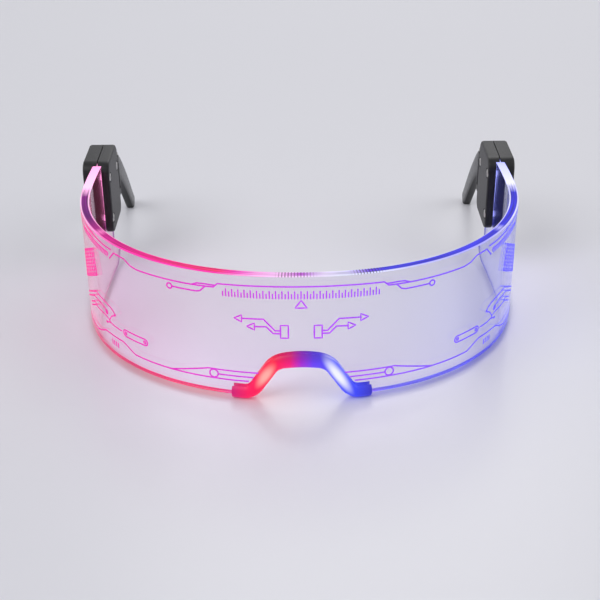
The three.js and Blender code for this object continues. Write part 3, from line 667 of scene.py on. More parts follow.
# %% Strength of the cut edge
# Streaks are drawn about 17 mm long and 0.4 mm wide, coarser than the saw's, so that they show.
# That makes this many to the metre.
streaks_per_metre = (60.0, 2400.0, 1.0)
along_and_deep = add(tree, "ShaderNodeCombineXYZ", {"X": kept_along, "Y": kept_deep})
stretched = add(tree, "ShaderNodeMapping", {"Vector": along_and_deep, "Scale": streaks_per_metre})
streaks = add(tree, "ShaderNodeTexNoise", {"Vector": stretched, "Scale": 1.0, "Detail": 3.0})
streak_light = add(tree, "ShaderNodeMapRange", {
    "Value": streaks, "From Min": 0.36, "From Max": 0.64, "To Min": 0.6, "To Max": 1.3})
strength = add(tree, "ShaderNodeMath", {0: streak_light, 1: rim}, operation="MAXIMUM")

lamp_glow_start = 113 * mm
lamp_glow_full = 119 * mm
raggedness = 8 * mm
ragged = add(tree, "ShaderNodeMath", {0: streaks, 1: raggedness, 2: from_centre}, operation="MULTIPLY_ADD")
near_lamp = add(tree, "ShaderNodeMapRange", {
    "Value": ragged, "From Min": lamp_glow_start, "From Max": lamp_glow_full, "To Max": 1.6})
near_lamp = add(tree, "ShaderNodeMath", {0: near_lamp, 1: is_high}, operation="MULTIPLY")
strength = add(tree, "ShaderNodeMath", {0: strength, 1: near_lamp}, operation="MAXIMUM")

scale_pitch = 0.953 * mm
off_tick = add(tree, "ShaderNodeMath", {0: kept_along, 1: scale_pitch / 2}, operation="PINGPONG")
ticks = add(tree, "ShaderNodeMapRange", {"Value": off_tick, "From Min": 0.1 * scale_pitch,
                                         "From Max": 0.3 * scale_pitch, "To Min": 0.35, "To Max": 1.1})
tick_places = add(tree, "ShaderNodeValToRGB", {"Fac": share}, stops=along_sheet({
    -8: "#000000", -6: "#ffffff", 2: "#d0d0d0", 5: "#000000", 15: "#000000", 18: "#ffffff",
    23: "#ffffff", 26: "#000000"}))
shown_ticks = add(tree, "ShaderNodeMath", {0: tick_places, 1: is_high}, operation="MULTIPLY")
tick_light = add(tree, "ShaderNodeMapRange", {"Value": shown_ticks, "To Min": 1.0, "To Max": ticks})
strength = add(tree, "ShaderNodeMath", {0: strength, 1: tick_light}, operation="MULTIPLY")
feed(shader, {"Emission Strength": strength})
print(f"nodes in {edge_glow.name}: {len(tree.nodes)}")

# %% [markdown]
# ## Bend the sheet
# The bend group alone is enough here. It makes no instances, and each face keeps its own one of
# the two finishes. Plain smooth shading would spread the look of the small round corners over
# the wide faces, so weighted normals follow, which keep the wide faces even.

# %% Bend the sheet
sheet.data.materials.append(clear)
sheet.data.materials.append(edge_glow)
run_tree(sheet, bend, Plan_line=plan_line, Half_length=half_length)
weighted = sheet.modifiers.new("normals", "WEIGHTED_NORMAL")
weighted.mode = "FACE_AREA"
weighted.weight = 100
keep_mesh(sheet)
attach(sheet, "visor")
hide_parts("visor_sheet")

# %% [markdown]
# ## The engraving
# A laser draws fine frosted lines on the flat sheet. They are listed for one half, as lengths
# from the middle and heights above the artwork's base line in millimetres, and mirrored. Bump
# in the material could draw them, but real grooves also show from the side. Long lines get
# extra points, so that they can bend with the sheet.

# %% Shapes of the artwork
def circle(u, v, radius, count=16):
    turns = [2 * math.pi * k / count for k in range(count + 1)]
    return [(u + radius * math.cos(t), v + radius * math.sin(t)) for t in turns]


def capsule(u0, u1, v, radius, count=8):
    turns = [math.pi / 2 - math.pi * k / count for k in range(count + 1)]
    right = [(u1 + radius * math.cos(t), v + radius * math.sin(t)) for t in turns]
    left = [(u0 - radius * math.cos(t), v - radius * math.sin(t)) for t in turns]
    return right + left + right[:1]


def arrow_head(u, v, length, half_base):
    return [(u, v), (u - length, v + half_base), (u - length, v - half_base), (u, v)]


# %% Lines of one half
half_lines = {
    "upper": [
        (0, 39.5), (12.5, 39.5), (25.4, 39.3), (26.8, 38.0), (29.6, 37.9), (33.9, 37.8), (54.5, 37.7),
        (57.3, 38.2), (60.2, 39.7), (65.4, 39.9), (68.3, 37.0)],
    "upper_strand": [(26.2, 38.6), (29.7, 38.7), (32.0, 38.6), (33.9, 37.8)],
    "upper_branch": [(29.4, 37.9), (31.0, 36.2), (32.3, 35.8), (40.8, 35.75)],
    "upper_ring": circle(41.7, 35.75, 0.9),
    "arrow_box": [(3.95, 21.85), (6.35, 21.85), (6.35, 26.25), (3.95, 26.25), (3.95, 21.85)],
    "long_arrow": [(6.35, 24.4), (8.0, 24.4), (11.5, 28.3), (18.2, 28.2)],
    "long_arrow_head": arrow_head(20.6, 28.15, 2.4, 1.2),
    "short_arrow": [(6.35, 23.4), (8.6, 23.4), (10.7, 25.7), (14.3, 25.6)],
    "short_arrow_head": arrow_head(16.7, 25.6, 2.4, 1.2),
    "side_a": [
        (97.0, 12.0), (89.2, 15.9), (81.8, 19.3), (76.2, 19.1), (70.8, 18.4), (68.8, 17.6), (67.9, 16.4)],
    "side_b": [(97.0, 10.6), (90.6, 13.7), (84.0, 16.7), (77.5, 16.9), (74.0, 16.2)],
    "side_c": [(90.4, 11.5), (84.6, 14.2), (82.4, 14.2)],
    "side_d": [
        (90.0, 10.3), (83.4, 13.5), (77.0, 13.7), (73.4, 13.6), (71.2, 12.4), (69.0, 12.1), (64.4, 12.1)],
    "side_link": [(67.9, 16.4), (70.2, 15.2), (71.9, 13.2)],
    "side_barb": [(74.5, 11.3), (72.6, 12.0), (71.2, 12.4)],
    "side_ring": circle(73.6, 15.4, 0.75),
    "side_ring_core": circle(73.6, 15.4, 0.3, 8),
    "side_capsule": capsule(53.2, 62.4, 12.1, 1.15),
    "capsule_ring_front": circle(53.3, 12.1, 0.45, 10),
    "capsule_ring_rear": circle(62.3, 12.1, 0.45, 10),
    "lower": [
        (97.0, 3.9), (84.0, 4.2), (80.0, 5.5), (75.6, 7.6), (72.5, 7.9), (64.4, 8.2), (62.4, 7.6),
        (58.2, 5.7), (43.0, 5.7), (29.5, 5.8), (16.6, 5.8)],
    "lower_upper_strand": [(43.0, 5.7), (29.5, 9.1), (13.2, 9.0)],
    "lower_ring": circle(27.8, 7.45, 1.4, 20),
    "lower_middle": [(26.4, 7.4), (15.0, 7.3)],
    "dot_a": circle(68.0, 16.6, 0.35, 8),
    "dot_barb": circle(73.9, 11.6, 0.3, 8),
    "band_upper_line": [
        (66.8, 40.5), (72.5, 40.7), (82.0, 41.6), (112.0, 41.6), (112.0, 29.5), (104.6, 25.0)],
    "band_middle_line": [(69.0, 38.8), (74.0, 39.1), (82.0, 39.7), (108.0, 39.9), (108.0, 30.8)],
    "block_frame": [(81.0, 35.5), (104.0, 24.7), (102.0, 15.9), (79.0, 26.6), (81.0, 35.5)],
}
middle_lines = {"triangle": [(0, 34.9), (-1.8, 32.3), (1.8, 32.3), (0, 34.9)]}
print(f"artwork: {2 * len(half_lines) + len(middle_lines)} lines")

# %% Points of the lines
artwork_base = 0.9
longest_step = 1.2
same_point = 1e-6


def add_line(points, vertices, edges):
    """Adds a line with extra points; a line that ends where it starts is closed."""
    first = len(vertices)
    closed = math.dist(points[0], points[-1]) < same_point
    for start, end in zip(points, points[1:]):
        count = max(1, math.ceil(math.dist(start, end) / longest_step))
        for k in range(count):
            share = k / count
            vertices.append([start[i] + (end[i] - start[i]) * share for i in (0, 1)] + [0])
    if not closed:
        vertices.append([*points[-1], 0])
    count = len(vertices) - first
    edges += [(first + k, first + k + 1) for k in range(count - 1)]
    if closed:
        edges.append((first + count - 1, first))


line_vertices = []
line_edges = []
for points in half_lines.values():
    add_line(points, line_vertices, line_edges)
    add_line([(-u, v) for u, v in points], line_vertices, line_edges)
for points in middle_lines.values():
    add_line(points, line_vertices, line_edges)
line_vertices = [(u * mm, (v + artwork_base) * mm, 0) for u, v, _ in line_vertices]
print(f"line artwork: {len(line_edges)} edges")

# %% [markdown]
# ## Glow of the engraving
# Frosted lines catch the light from inside the sheet, pink on the left and blue-violet on the
# right. A fully lit line would be white, and lost on a pale ground, so the lines keep their
# glow's colour. The glow sits on a rough surface and wavers with the grain of the frost.

# %% Glow of the engraving
# Acrylic, burnt to a white frost by a laser: matt, grainy, and lit evenly from inside the sheet.
# Painted glow: the base colour is a dark violet, the lines' glow colour dimmed, in place of the frost's
# white.
frost_glow, tree, shader = new_material("acrylic_laser_frosted_glowing", "#4a1658", Roughness=0.7)
kept_along = add(tree, "ShaderNodeAttribute", attribute_name="along").outputs["Fac"]
share = add(tree, "ShaderNodeMapRange", {
    "Value": kept_along, "From Min": -half_length, "From Max": half_length})
frost_light = add(tree, "ShaderNodeValToRGB", {"Fac": share}, stops=along_sheet({
    -100: "#ff2f86", -70: "#f01f9c", -35: "#e02cc4", 0: "#bc48f4", 35: "#8656fb", 70: "#5c5eff",
    100: "#5f70ff"}))

# The frost's grain of 0.05 mm is drawn at 0.4 mm, so that it shows in the render.
grains_per_metre = 2500.0
where = add(tree, "ShaderNodeTexCoord").outputs["Object"]
frost = add(tree, "ShaderNodeTexNoise", {"Vector": where, "Scale": grains_per_metre, "Detail": 2.0})
grain_light = add(tree, "ShaderNodeMapRange", {
    "Value": frost, "From Min": 0.3, "From Max": 0.7, "To Min": 0.8, "To Max": 1.1})
feed(shader, {"Emission Color": frost_light, "Emission Strength": grain_light})
print("made", frost_glow.name)

# %% [markdown]
# ## Engraved lines
# Each line is a shallow strip, half a millimetre wide, sunk a tenth of a millimetre into the
# face. Cutting the grooves by a Boolean would break up the sheet's fine mesh, so Geometry Nodes
# sweep a small flat section along the lines and lay it in the face. What all engraving trees
# share, standing up the flat artwork, bending it and giving its finish, is one function.

# %% Sweep and bend the lines
line_width = 0.5 * mm
line_proud = 0.03 * mm
line_sunk = 0.1 * mm
sheet_sockets = {"Depth": "Float", "Plan_line": "Object", "Half_length": "Float", "Finish": "Material"}


def lay_on_sheet(tree, geometry, given):
    """Stands flat artwork upright at a depth in the sheet, bends it and gives it its finish."""
    stood = add(tree, "GeometryNodeTransform", {"Geometry": geometry, "Rotation": (math.pi / 2, 0, 0)})
    middle = add(tree, "ShaderNodeCombineXYZ", {"Y": given["Depth"]})
    placed = add(tree, "GeometryNodeTransform", {"Geometry": stood, "Translation": middle})
    bent = add(tree, "GeometryNodeGroup", {
        "Geometry": placed, "Plan line": given["Plan line"], "Half length": given["Half length"]},
        node_tree=bend)
    real = add(tree, "GeometryNodeRealizeInstances", {"Geometry": bent})
    finished = add(tree, "GeometryNodeSetMaterial", {"Geometry": real, "Material": given["Finish"]})
    add(tree, "NodeGroupOutput", {"Geometry": finished})


sweep, given = new_tree("engraved_lines", Width="Float", Thickness="Float", **sheet_sockets)
curves = add(sweep, "GeometryNodeMeshToCurve", {"Mesh": given["Geometry"]})
levelled = add(sweep, "GeometryNodeSetCurveNormal", {"Curve": curves}, mode="Z_UP")
section = add(sweep, "GeometryNodeCurvePrimitiveQuadrilateral",
              {"Width": given["Width"], "Height": given["Thickness"]}, mode="RECTANGLE")
swept = add(sweep, "GeometryNodeCurveToMesh",
            {"Curve": levelled, "Profile Curve": section, "Fill Caps": True})
lay_on_sheet(sweep, swept, given)

common = {"Plan_line": plan_line, "Half_length": half_length, "Finish": frost_glow,
          "Thickness": line_proud + line_sunk, "Depth": (line_sunk - line_proud) / 2}
engraving = new_object("engraved_lines", line_vertices, line_edges)
run_tree(engraving, sweep, Width=line_width, **common)
keep_mesh(engraving)

# %% [markdown]
# ## The scale of strokes
# The scale above the eyes has 51 strokes, long and short in turn, that stand on one line. Its
# strokes could be listed with the other lines, but they follow a rule, so a small tree sets
# one stroke on each of a row of points and shortens every second one.

# %% Scale of strokes
scale_strokes = 51
scale_foot = 35.3
strokes, given = new_tree("row_of_strokes", Count="Int", Pitch="Float", Foot="Float", Tall="Float",
                          Short_share="Float", Width="Float", Thickness="Float", **sheet_sockets)
gaps = add(strokes, "ShaderNodeMath", {0: given["Count"], 1: 1.0}, operation="SUBTRACT")
span = add(strokes, "ShaderNodeMath", {0: gaps, 1: given["Pitch"]}, operation="MULTIPLY")
start_x = add(strokes, "ShaderNodeMath", {0: span, 1: -0.5}, operation="MULTIPLY")
start = add(strokes, "ShaderNodeCombineXYZ", {"X": start_x, "Y": given["Foot"]})
step = add(strokes, "ShaderNodeCombineXYZ", {"X": given["Pitch"]})
row = add(strokes, "GeometryNodeMeshLine",
          {"Count": given["Count"], "Start Location": start, "Offset": step})
size = add(strokes, "ShaderNodeCombineXYZ",
           {"X": given["Width"], "Y": given["Tall"], "Z": given["Thickness"]})
stroke = add(strokes, "GeometryNodeMeshCube", {"Size": size})
half_tall = add(strokes, "ShaderNodeMath", {0: given["Tall"], 1: 0.5}, operation="MULTIPLY")
lift = add(strokes, "ShaderNodeCombineXYZ", {"Y": half_tall})
stroke = add(strokes, "GeometryNodeTransform", {"Geometry": stroke, "Translation": lift})
index = add(strokes, "GeometryNodeInputIndex")
odd = add(strokes, "ShaderNodeMath", {0: index, 1: 2.0}, operation="MODULO")
height = add(strokes, "ShaderNodeMapRange", {"Value": odd, "To Min": given["Short share"], "To Max": 1.0})
scale = add(strokes, "ShaderNodeCombineXYZ", {"X": 1.0, "Y": height, "Z": 1.0})
marks = add(strokes, "GeometryNodeInstanceOnPoints", {"Points": row, "Instance": stroke, "Scale": scale})
marks = add(strokes, "GeometryNodeRealizeInstances", {"Geometry": marks})
lay_on_sheet(strokes, marks, given)

scale_marks = new_object("engraved_scale", [(0, 0, 0)])
run_tree(scale_marks, strokes, Count=scale_strokes, Pitch=scale_pitch, Tall=2.7 * mm, Short_share=0.66,
         Foot=(scale_foot + artwork_base) * mm, Width=0.42 * mm, **common)
keep_mesh(scale_marks)

# %% [markdown]
# ## Hatched areas
# Each side panel carries a block of small strokes in rows, which lean one way and the other in
# turn, a band of slanted strokes above it, and four plain bars below. They are all strokes on
# points, so one tree makes them. It reads from an attribute which way a stroke leans.

# %% Tree for hatched areas
hatch, given = new_tree("hatched_points", Long="Float", Slant="Float", Width="Float", Thickness="Float",
                        **sheet_sockets)
size = add(hatch, "ShaderNodeCombineXYZ",
           {"X": given["Long"], "Y": given["Width"], "Z": given["Thickness"]})
stroke = add(hatch, "GeometryNodeMeshCube", {"Size": size})
way = add(hatch, "GeometryNodeInputNamedAttribute", {"Name": "way"}, data_type="FLOAT")
lean = add(hatch, "ShaderNodeMath", {0: way, 1: given["Slant"]}, operation="MULTIPLY")
turned = add(hatch, "ShaderNodeCombineXYZ", {"Z": lean})
marks = add(hatch, "GeometryNodeInstanceOnPoints",
            {"Points": given["Geometry"], "Instance": stroke, "Rotation": turned})
marks = add(hatch, "GeometryNodeRealizeInstances", {"Geometry": marks})
lay_on_sheet(hatch, marks, given)


def hatch_points(name, points, **sizes):
    """One engraved piece of strokes at (length, height, way they lean) in millimetres, both sides."""
    places = [(side * u * mm, (v + artwork_base) * mm, 0) for side in (-1, 1) for u, v, _ in points]
    ways = [-side * lean for side in (-1, 1) for _, _, lean in points]
    made = new_object(name, places)
    attribute = made.data.attributes.new("way", "FLOAT", "POINT")
    attribute.data.foreach_set("value", ways)
    run_tree(made, hatch, **sizes, **common)
    return keep_mesh(made)


# %% Hatched areas, in millimetres
block_rows = 8
block_columns = 15
row_pitch = 1.12
column_pitch = 1.4
block_slope = -0.47
block_lean = 0.225
block_corner = (81.0, 35.6)
block_inset = (0.6, 0.5)
block = []
for row_number in range(block_rows):
    down = block_inset[1] + row_number * row_pitch
    for k in range(block_columns):
        u = block_corner[0] + block_inset[0] - block_lean * down + k * column_pitch
        v = block_corner[1] - down + block_slope * (u - block_corner[0] + block_lean * down)
        block.append((u, v, 1 if (row_number + k) % 2 else -1))
block_marks = hatch_points("engraved_block", block, Long=1.45 * mm, Slant=math.radians(38), Width=0.5 * mm)

band_from = 69.3
band_to = 92.0
band_pitch = 0.92
band_slope = 0.045
band_base = (68.6, 37.9)
band = [(u, band_base[1] + (u - band_base[0]) * band_slope, 1)
        for u in np.arange(band_from, band_to, band_pitch)]
band_marks = hatch_points("engraved_band", band, Long=1.8 * mm, Slant=math.radians(58), Width=0.45 * mm)

bar_height = 5.4
bars = [(u, bar_height, 1) for u in (67.4, 68.6, 69.8, 71.0)]
bar_marks = hatch_points("engraved_bars", bars, Long=2.0 * mm, Slant=math.radians(90), Width=0.55 * mm)

for piece in (engraving, scale_marks, block_marks, band_marks, bar_marks):
    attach(piece, "visor")

# %% [markdown]
# ## The nose tube
# A length of soft frosted silicone tube is slit along one side and pushed over the edge of the
# cut-out. A bevelled curve could be the tube, but it can't be bent with the sheet and has no
# slit. So its section is a circle with a slot, and Geometry Nodes sweep it along the nose line,
# in the flat, before the same bend.

# %% Section and line of the tube
slot_play = 0.05 * mm
slot_end_gap = 0.1 * mm
slot_half_width = sheet_thickness / 2 + slot_play
slot_floor = edge_below_tube_middle + slot_end_gap
tube_sides = 40
first_turn = math.acos(-math.sqrt(tube_radius ** 2 - slot_half_width ** 2) / tube_radius)
section_points = [(tube_radius * math.cos(turn), tube_radius * math.sin(turn))
                  for turn in np.linspace(-first_turn, first_turn, tube_sides)]
section_points += [(slot_floor, slot_half_width), (slot_floor, -slot_half_width)]
tube_section = flat_line("tube_section", section_points, closed=True)

tube_arc_steps = 24
foot_steps = 8
least_gap = 0.05 * mm
right_half = nose_line(0, tube_arc_steps)
right_half += [(x, tube_middle_z) for x in np.linspace(foot_x, tube_half_span, foot_steps)[1:]]
whole_line = [(-x, z) for x, z in reversed(right_half[1:])] + right_half
spaced_line = whole_line[:1]
for point in whole_line[1:]:
    if math.dist(point, spaced_line[-1]) > least_gap:
        spaced_line.append(point)
tube_vertices = [(along_from_x(x), z, 0) for x, z in spaced_line]
tube_edges = [(k, k + 1) for k in range(len(tube_vertices) - 1)]
nose_tube = new_object("frosted_nose_tube", tube_vertices, tube_edges)
print(f"tube line: {len(tube_vertices)} points")

# %% [markdown]
# ## Frosted silicone
# The tube takes in the edge's light and spreads it through its whole thickness: red on the
# left, blue on the right, violet at the crown. Subsurface scattering from lamps inside would be
# slow and noisy, so the surface glows.

# %% Frosted silicone
# Silicone, extruded and frosted: milky and soft, so that the light in it has no sharp edge.
silicone, tree, shader = new_material("silicone_extruded_frosted", "#f2d9ee", Roughness=0.4, IOR=1.41)
where = add(tree, "ShaderNodeTexCoord").outputs["Object"]
axes_of = add(tree, "ShaderNodeSeparateXYZ", {0: where}).outputs
share = add(tree, "ShaderNodeMapRange",
            {"Value": axes_of["X"], "From Min": -tube_half_span, "From Max": tube_half_span})
glow = add(tree, "ShaderNodeValToRGB", {"Fac": share}, stops=[
    (0.0, "#cc1070"), (0.12, "#f80c5c"), (0.30, "#ff0c44"), (0.42, "#ee0a7c"), (0.50, "#a01ed0"),
    (0.58, "#663cee"), (0.72, "#424cf8"), (0.88, "#3844f4"), (1.0, "#3430c0")])
print("made", silicone.name)

# %% [markdown]
# Each flank has a paler core, where the most light comes through. An image could hold such
# spots, but an oval that is measured along and across the flank stays sharp at any size. The
# left core is shorter than the right one.

# %% Paler cores of the flanks
flank_x = 11.2 * mm
flank_z = sheet_bottom + 8.1 * mm
core_width = 2.3 * mm
for side, core_length, core in ((-1, 6.5 * mm, "#ffaaa2"), (1, 10.0 * mm, "#f0f1ff")):
    centre = Vector((side * flank_x, front_y, flank_z))
    down_flank = (side * math.cos(flank_angle) / core_length, 0, -math.sin(flank_angle) / core_length)
    off_flank = (side * math.sin(flank_angle) / core_width, 0, math.cos(flank_angle) / core_width)
    shift = add(tree, "ShaderNodeVectorMath", {0: where, 1: centre}, operation="SUBTRACT")
    down = add(tree, "ShaderNodeVectorMath", {0: shift, 1: down_flank}, operation="DOT_PRODUCT")
    off = add(tree, "ShaderNodeVectorMath", {0: shift, 1: off_flank}, operation="DOT_PRODUCT")
    far = add(tree, "ShaderNodeCombineXYZ", {"X": down.outputs["Value"], "Y": off.outputs["Value"]})
    far = add(tree, "ShaderNodeVectorMath", {0: far}, operation="LENGTH").outputs["Value"]
    core_share = add(tree, "ShaderNodeMapRange", {"Value": far, "From Min": 1.0, "From Max": 0.15},
                     interpolation_type="SMOOTHSTEP")
    glow = add(tree, "ShaderNodeMixRGB", {0: core_share, 1: glow, 2: linear(core)})

# %% [markdown]
# The glow weakens towards the top of the crown, which the light hardly reaches. The base colour
# is the same colour, dimmed, so that the shaded side isn't white, and a fine bump breaks up the
# highlight as frosting does.

# %% Strength and frosting
crown_middle_z = tube_middle_z + nose_rise
low_on_crown = crown_middle_z - 1 * mm
top_of_crown = crown_middle_z + tube_radius
dimmed = add(tree, "ShaderNodeMixRGB", {0: 1.0, 1: glow, 2: linear("#5c5c5c")}, blend_type="MULTIPLY")
under_crown = add(tree, "ShaderNodeMapRange", {
    "Value": axes_of["Z"], "From Min": low_on_crown, "From Max": top_of_crown,
    "To Min": 0.95, "To Max": 0.45})

# The frosting's grain of 0.1 mm is drawn at 0.33 mm, so that it shows in the render.
frosting_per_metre = 3000.0
frosting = add(tree, "ShaderNodeTexNoise", {"Vector": where, "Scale": frosting_per_metre, "Detail": 2.0})
bump = add(tree, "ShaderNodeBump", {"Height": frosting, "Strength": 0.25, "Distance": 0.02 * mm})
feed(shader, {"Base Color": dimmed, "Emission Color": glow, "Emission Strength": under_crown,
              "Normal": bump})
print(f"nodes in {silicone.name}: {len(tree.nodes)}")

# %% [markdown]
# ## Sweep the tube
# The soft tube is squeezed where it is bent over the crown, so it is fuller underneath there
# than a round section. A second section could be blended in, but moving the crown's lower
# points down a little gives the same form with less.

# %% Sweep the tube
tube_tree, given = new_tree("slit_tube", Section="Object", **sheet_sockets)
curves = add(tube_tree, "GeometryNodeMeshToCurve", {"Mesh": given["Geometry"]})
levelled = add(tube_tree, "GeometryNodeSetCurveNormal", {"Curve": curves}, mode="Z_UP")
section = add(tube_tree, "GeometryNodeObjectInfo", {"Object": given["Section"]}, transform_space="ORIGINAL")
swept = add(tube_tree, "GeometryNodeCurveToMesh",
            {"Curve": levelled, "Profile Curve": section.outputs["Geometry"], "Fill Caps": True})
smooth = add(tube_tree, "GeometryNodeSetShadeSmooth", {"Geometry": swept})
lay_on_sheet(tube_tree, smooth, given)
run_tree(nose_tube, tube_tree, Section=tube_section, Depth=sheet_thickness / 2, Plan_line=plan_line,
         Half_length=half_length, Finish=silicone)
keep_mesh(nose_tube)

crown_swell = 0.85 * mm
swell_reach = 11 * mm
for vertex in nose_tube.data.vertices:
    near_middle = max(0.0, 1 - (vertex.co.x / swell_reach) ** 2) ** 2
    below = min(max((crown_middle_z - vertex.co.z) / tube_radius, 0), 1)
    vertex.co.z -= crown_swell * near_middle * below
nose_tube.data.set_sharp_from_angle(angle=math.radians(40))
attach(nose_tube, "visor")
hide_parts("nose_tube")

# %% [markdown]
# ## Patterns of a real size
# The pods, the arms and what is inside them get finishes of one kind. Each starts from the real
# material and from how its surface was made. One pattern drives all of it: it blends two close
# colours, varies the roughness and lifts a fine bump, as one cause does on a real surface. The
# pattern is a noise with grains of a real size in millimetres, drawn out along one axis for
# rolled metal, or the weave of the board's glass cloth.

# %% Patterns of a real size
def grains(size, stretch=(1, 1, 1)):
    """Noise with grains of a size in millimetres; a small stretch number makes them long that way."""
    def build(tree, where):
        scale = [share / (size * mm) for share in stretch]
        stretched = add(tree, "ShaderNodeMapping", {"Vector": where, "Scale": scale})
        return add(tree, "ShaderNodeTexNoise", {"Vector": stretched, "Scale": 1.0, "Detail": 3.0})
    return build


def cloth(pitch):
    """Threads that cross along Y and Z, with their pitch in millimetres."""
    def build(tree, where):
        # At a scale of 1, Blender's wave turns by this many radians in each metre.
        wave_turn = 20
        wave_scale = 2 * math.pi / (wave_turn * pitch * mm)
        warp, weft = [
            add(tree, "ShaderNodeTexWave", {"Vector": where, "Scale": wave_scale},
                bands_direction=axis).outputs["Fac"]
            for axis in ("Y", "Z")]
        return add(tree, "ShaderNodeMath", {0: warp, 1: weft}, operation="MAXIMUM")
    return build


# %% A finish that follows its pattern
# Nearly all of a noise lies between these two values.
pattern_low = 0.3
pattern_high = 0.7


def make_finish(name, colours, pattern, bump, roughness, glow=None, **sockets):
    """A material that follows its pattern between two colours and two roughnesses, with a bump in mm."""
    made, tree, shader = new_material(name, colours[0], **sockets)
    where = add(tree, "ShaderNodeTexCoord").outputs["Object"]
    value = pattern(tree, where)
    spread = {"Value": value, "From Min": pattern_low, "From Max": pattern_high}
    colour = add(tree, "ShaderNodeValToRGB", {"Fac": value},
                 stops=[(pattern_low, colours[0]), (pattern_high, colours[1])])
    rough = add(tree, "ShaderNodeMapRange", {**spread, "To Min": roughness[0], "To Max": roughness[1]})
    height = add(tree, "ShaderNodeBump", {"Height": value, "Strength": 1.0, "Distance": bump * mm})
    feed(shader, {"Base Color": colour, "Roughness": rough, "Normal": height})
    if glow:
        lit = add(tree, "ShaderNodeMapRange", {**spread, "To Min": 0.9, "To Max": 1.5})
        feed(shader, {"Emission Color": linear(glow), "Emission Strength": lit})
    return made


# %% [markdown]
# ## Finishes of the imported pieces
# All plastic of the pods and arms is black, and only the tool's surface tells the pieces apart:
# the pods are satin, the arms glossy, the buttons dry. One shared black would look like one
# moulding, so each has its own grain and roughness. The same goes for three kinds of steel.

# %% Finishes
finishes = {
    # ABS moulded in a polished tool: nearly black, with tight highlights that waver a little.
    "arm_plastic": make_finish(
        "abs_moulded_gloss_black", ("#050507", "#0b0b0e"), grains(1.1), 0.006, (0.17, 0.27),
        Specular_IOR_Level=0.28),
    # ABS moulded in a finely etched tool: black with a satin stipple, so the pod shows no fingerprints.
    # The stipple is drawn at 0.45 mm instead of 0.1 mm, so that it shows in the render.
    "pod_plastic": make_finish(
        "abs_moulded_etched_black", ("#070709", "#17171a"), grains(0.45), 0.045, (0.36, 0.5),
        Specular_IOR_Level=0.35),
    # ABS moulded in a spark-eroded tool: a dry satin grain, a little paler, that finds the thumb.
    "button_plastic": make_finish(
        "abs_moulded_satin_grey", ("#17171b", "#25252a"), grains(0.3), 0.01, (0.42, 0.55),
        Specular_IOR_Level=0.4),
    # Steel, turned and nickel plated: bright and slightly warm, with soft blotches.
    "screw_steel": make_finish(
        "steel_turned_nickel_plated", ("#a09f9d", "#c2c0bc"), grains(0.4), 0.002, (0.22, 0.38),
        Metallic=1.0),
    # Spring steel, rolled and nickel plated: warm grey, with fine lines along the strip.
    "contact_steel": make_finish(
        "spring_steel_rolled_nickel_plated", ("#b4af9f", "#d0cbbc"), grains(0.15, (1, 1, 0.05)), 0.002,
        (0.18, 0.32), Metallic=1.0),
    # Steel, pressed to a can and nickel plated: cool and smooth, nearly a mirror.
    "cell_steel": make_finish(
        "steel_pressed_nickel_plated", ("#b8babf", "#cdcfd2"), grains(0.7), 0.001, (0.14, 0.28),
        Metallic=1.0),
    # Glass cloth in epoxy under green lacquer: the threads show faintly through the gloss.
    "board_laminate": make_finish(
        "glass_epoxy_laminate_green", ("#0f4526", "#1b6439"), cloth(0.5), 0.004, (0.32, 0.5)),
    # Epoxy moulding compound: black, with a fine matt grain that spreads the light.
    "chip_epoxy": make_finish(
        "epoxy_moulded_matt_black", ("#131316", "#1e1e21"), grains(0.25), 0.006, (0.45, 0.6),
        Specular_IOR_Level=0.45),
    # Nylon filled with glass, moulded: dull grey, with paler specks of fibre.
    "switch_plastic": make_finish(
        "nylon_glass_filled_moulded", ("#303034", "#4a4a4f"), grains(0.35), 0.006, (0.5, 0.65),
        Specular_IOR_Level=0.45),
}
for side, colour_name, colour in (("left", "pink", "#ff3a78"), ("right", "blue", "#4a5cff")):
    # Epoxy, cast over the lamp: milky resin, lit unevenly by the grains in it.
    finishes[f"lamp_resin_{side}"] = make_finish(
        f"epoxy_cast_lamp_{colour_name}", ("#f6efe6", "#e6dccf"), grains(0.2), 0.002, (0.12, 0.3),
        glow=colour)
print("finishes:", ", ".join(made.name for made in finishes.values()))

# %% [markdown]
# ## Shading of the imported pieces
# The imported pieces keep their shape: loose triangles, each with its own corners. Seen as they
# are, every round would show its facets. Their meshes aren't changed, so two modifiers stay on
# each. A tree merges the corners and shades smooth, with a sharp crease wherever the surface
# turns by more than 34 degrees, and weighted normals keep the flat faces flat up to a crease.

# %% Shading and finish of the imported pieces
merge_distance = 0.002 * mm
sharp_angle = math.radians(34)
soften, given = new_tree("merge_and_smooth")
merged = add(soften, "GeometryNodeMergeByDistance",
             {"Geometry": given["Geometry"], "Distance": merge_distance})
smooth = add(soften, "GeometryNodeSetShadeSmooth", {"Geometry": merged}, domain="FACE")
bend_angle = add(soften, "GeometryNodeInputMeshEdgeAngle")
is_sharp = add(soften, "FunctionNodeCompare", {0: bend_angle, 1: sharp_angle},
               data_type="FLOAT", operation="GREATER_THAN")
creased = add(soften, "GeometryNodeSetShadeSmooth",
              {"Geometry": smooth, "Selection": is_sharp, "Shade Smooth": False}, domain="EDGE")
add(soften, "NodeGroupOutput", {"Geometry": creased})

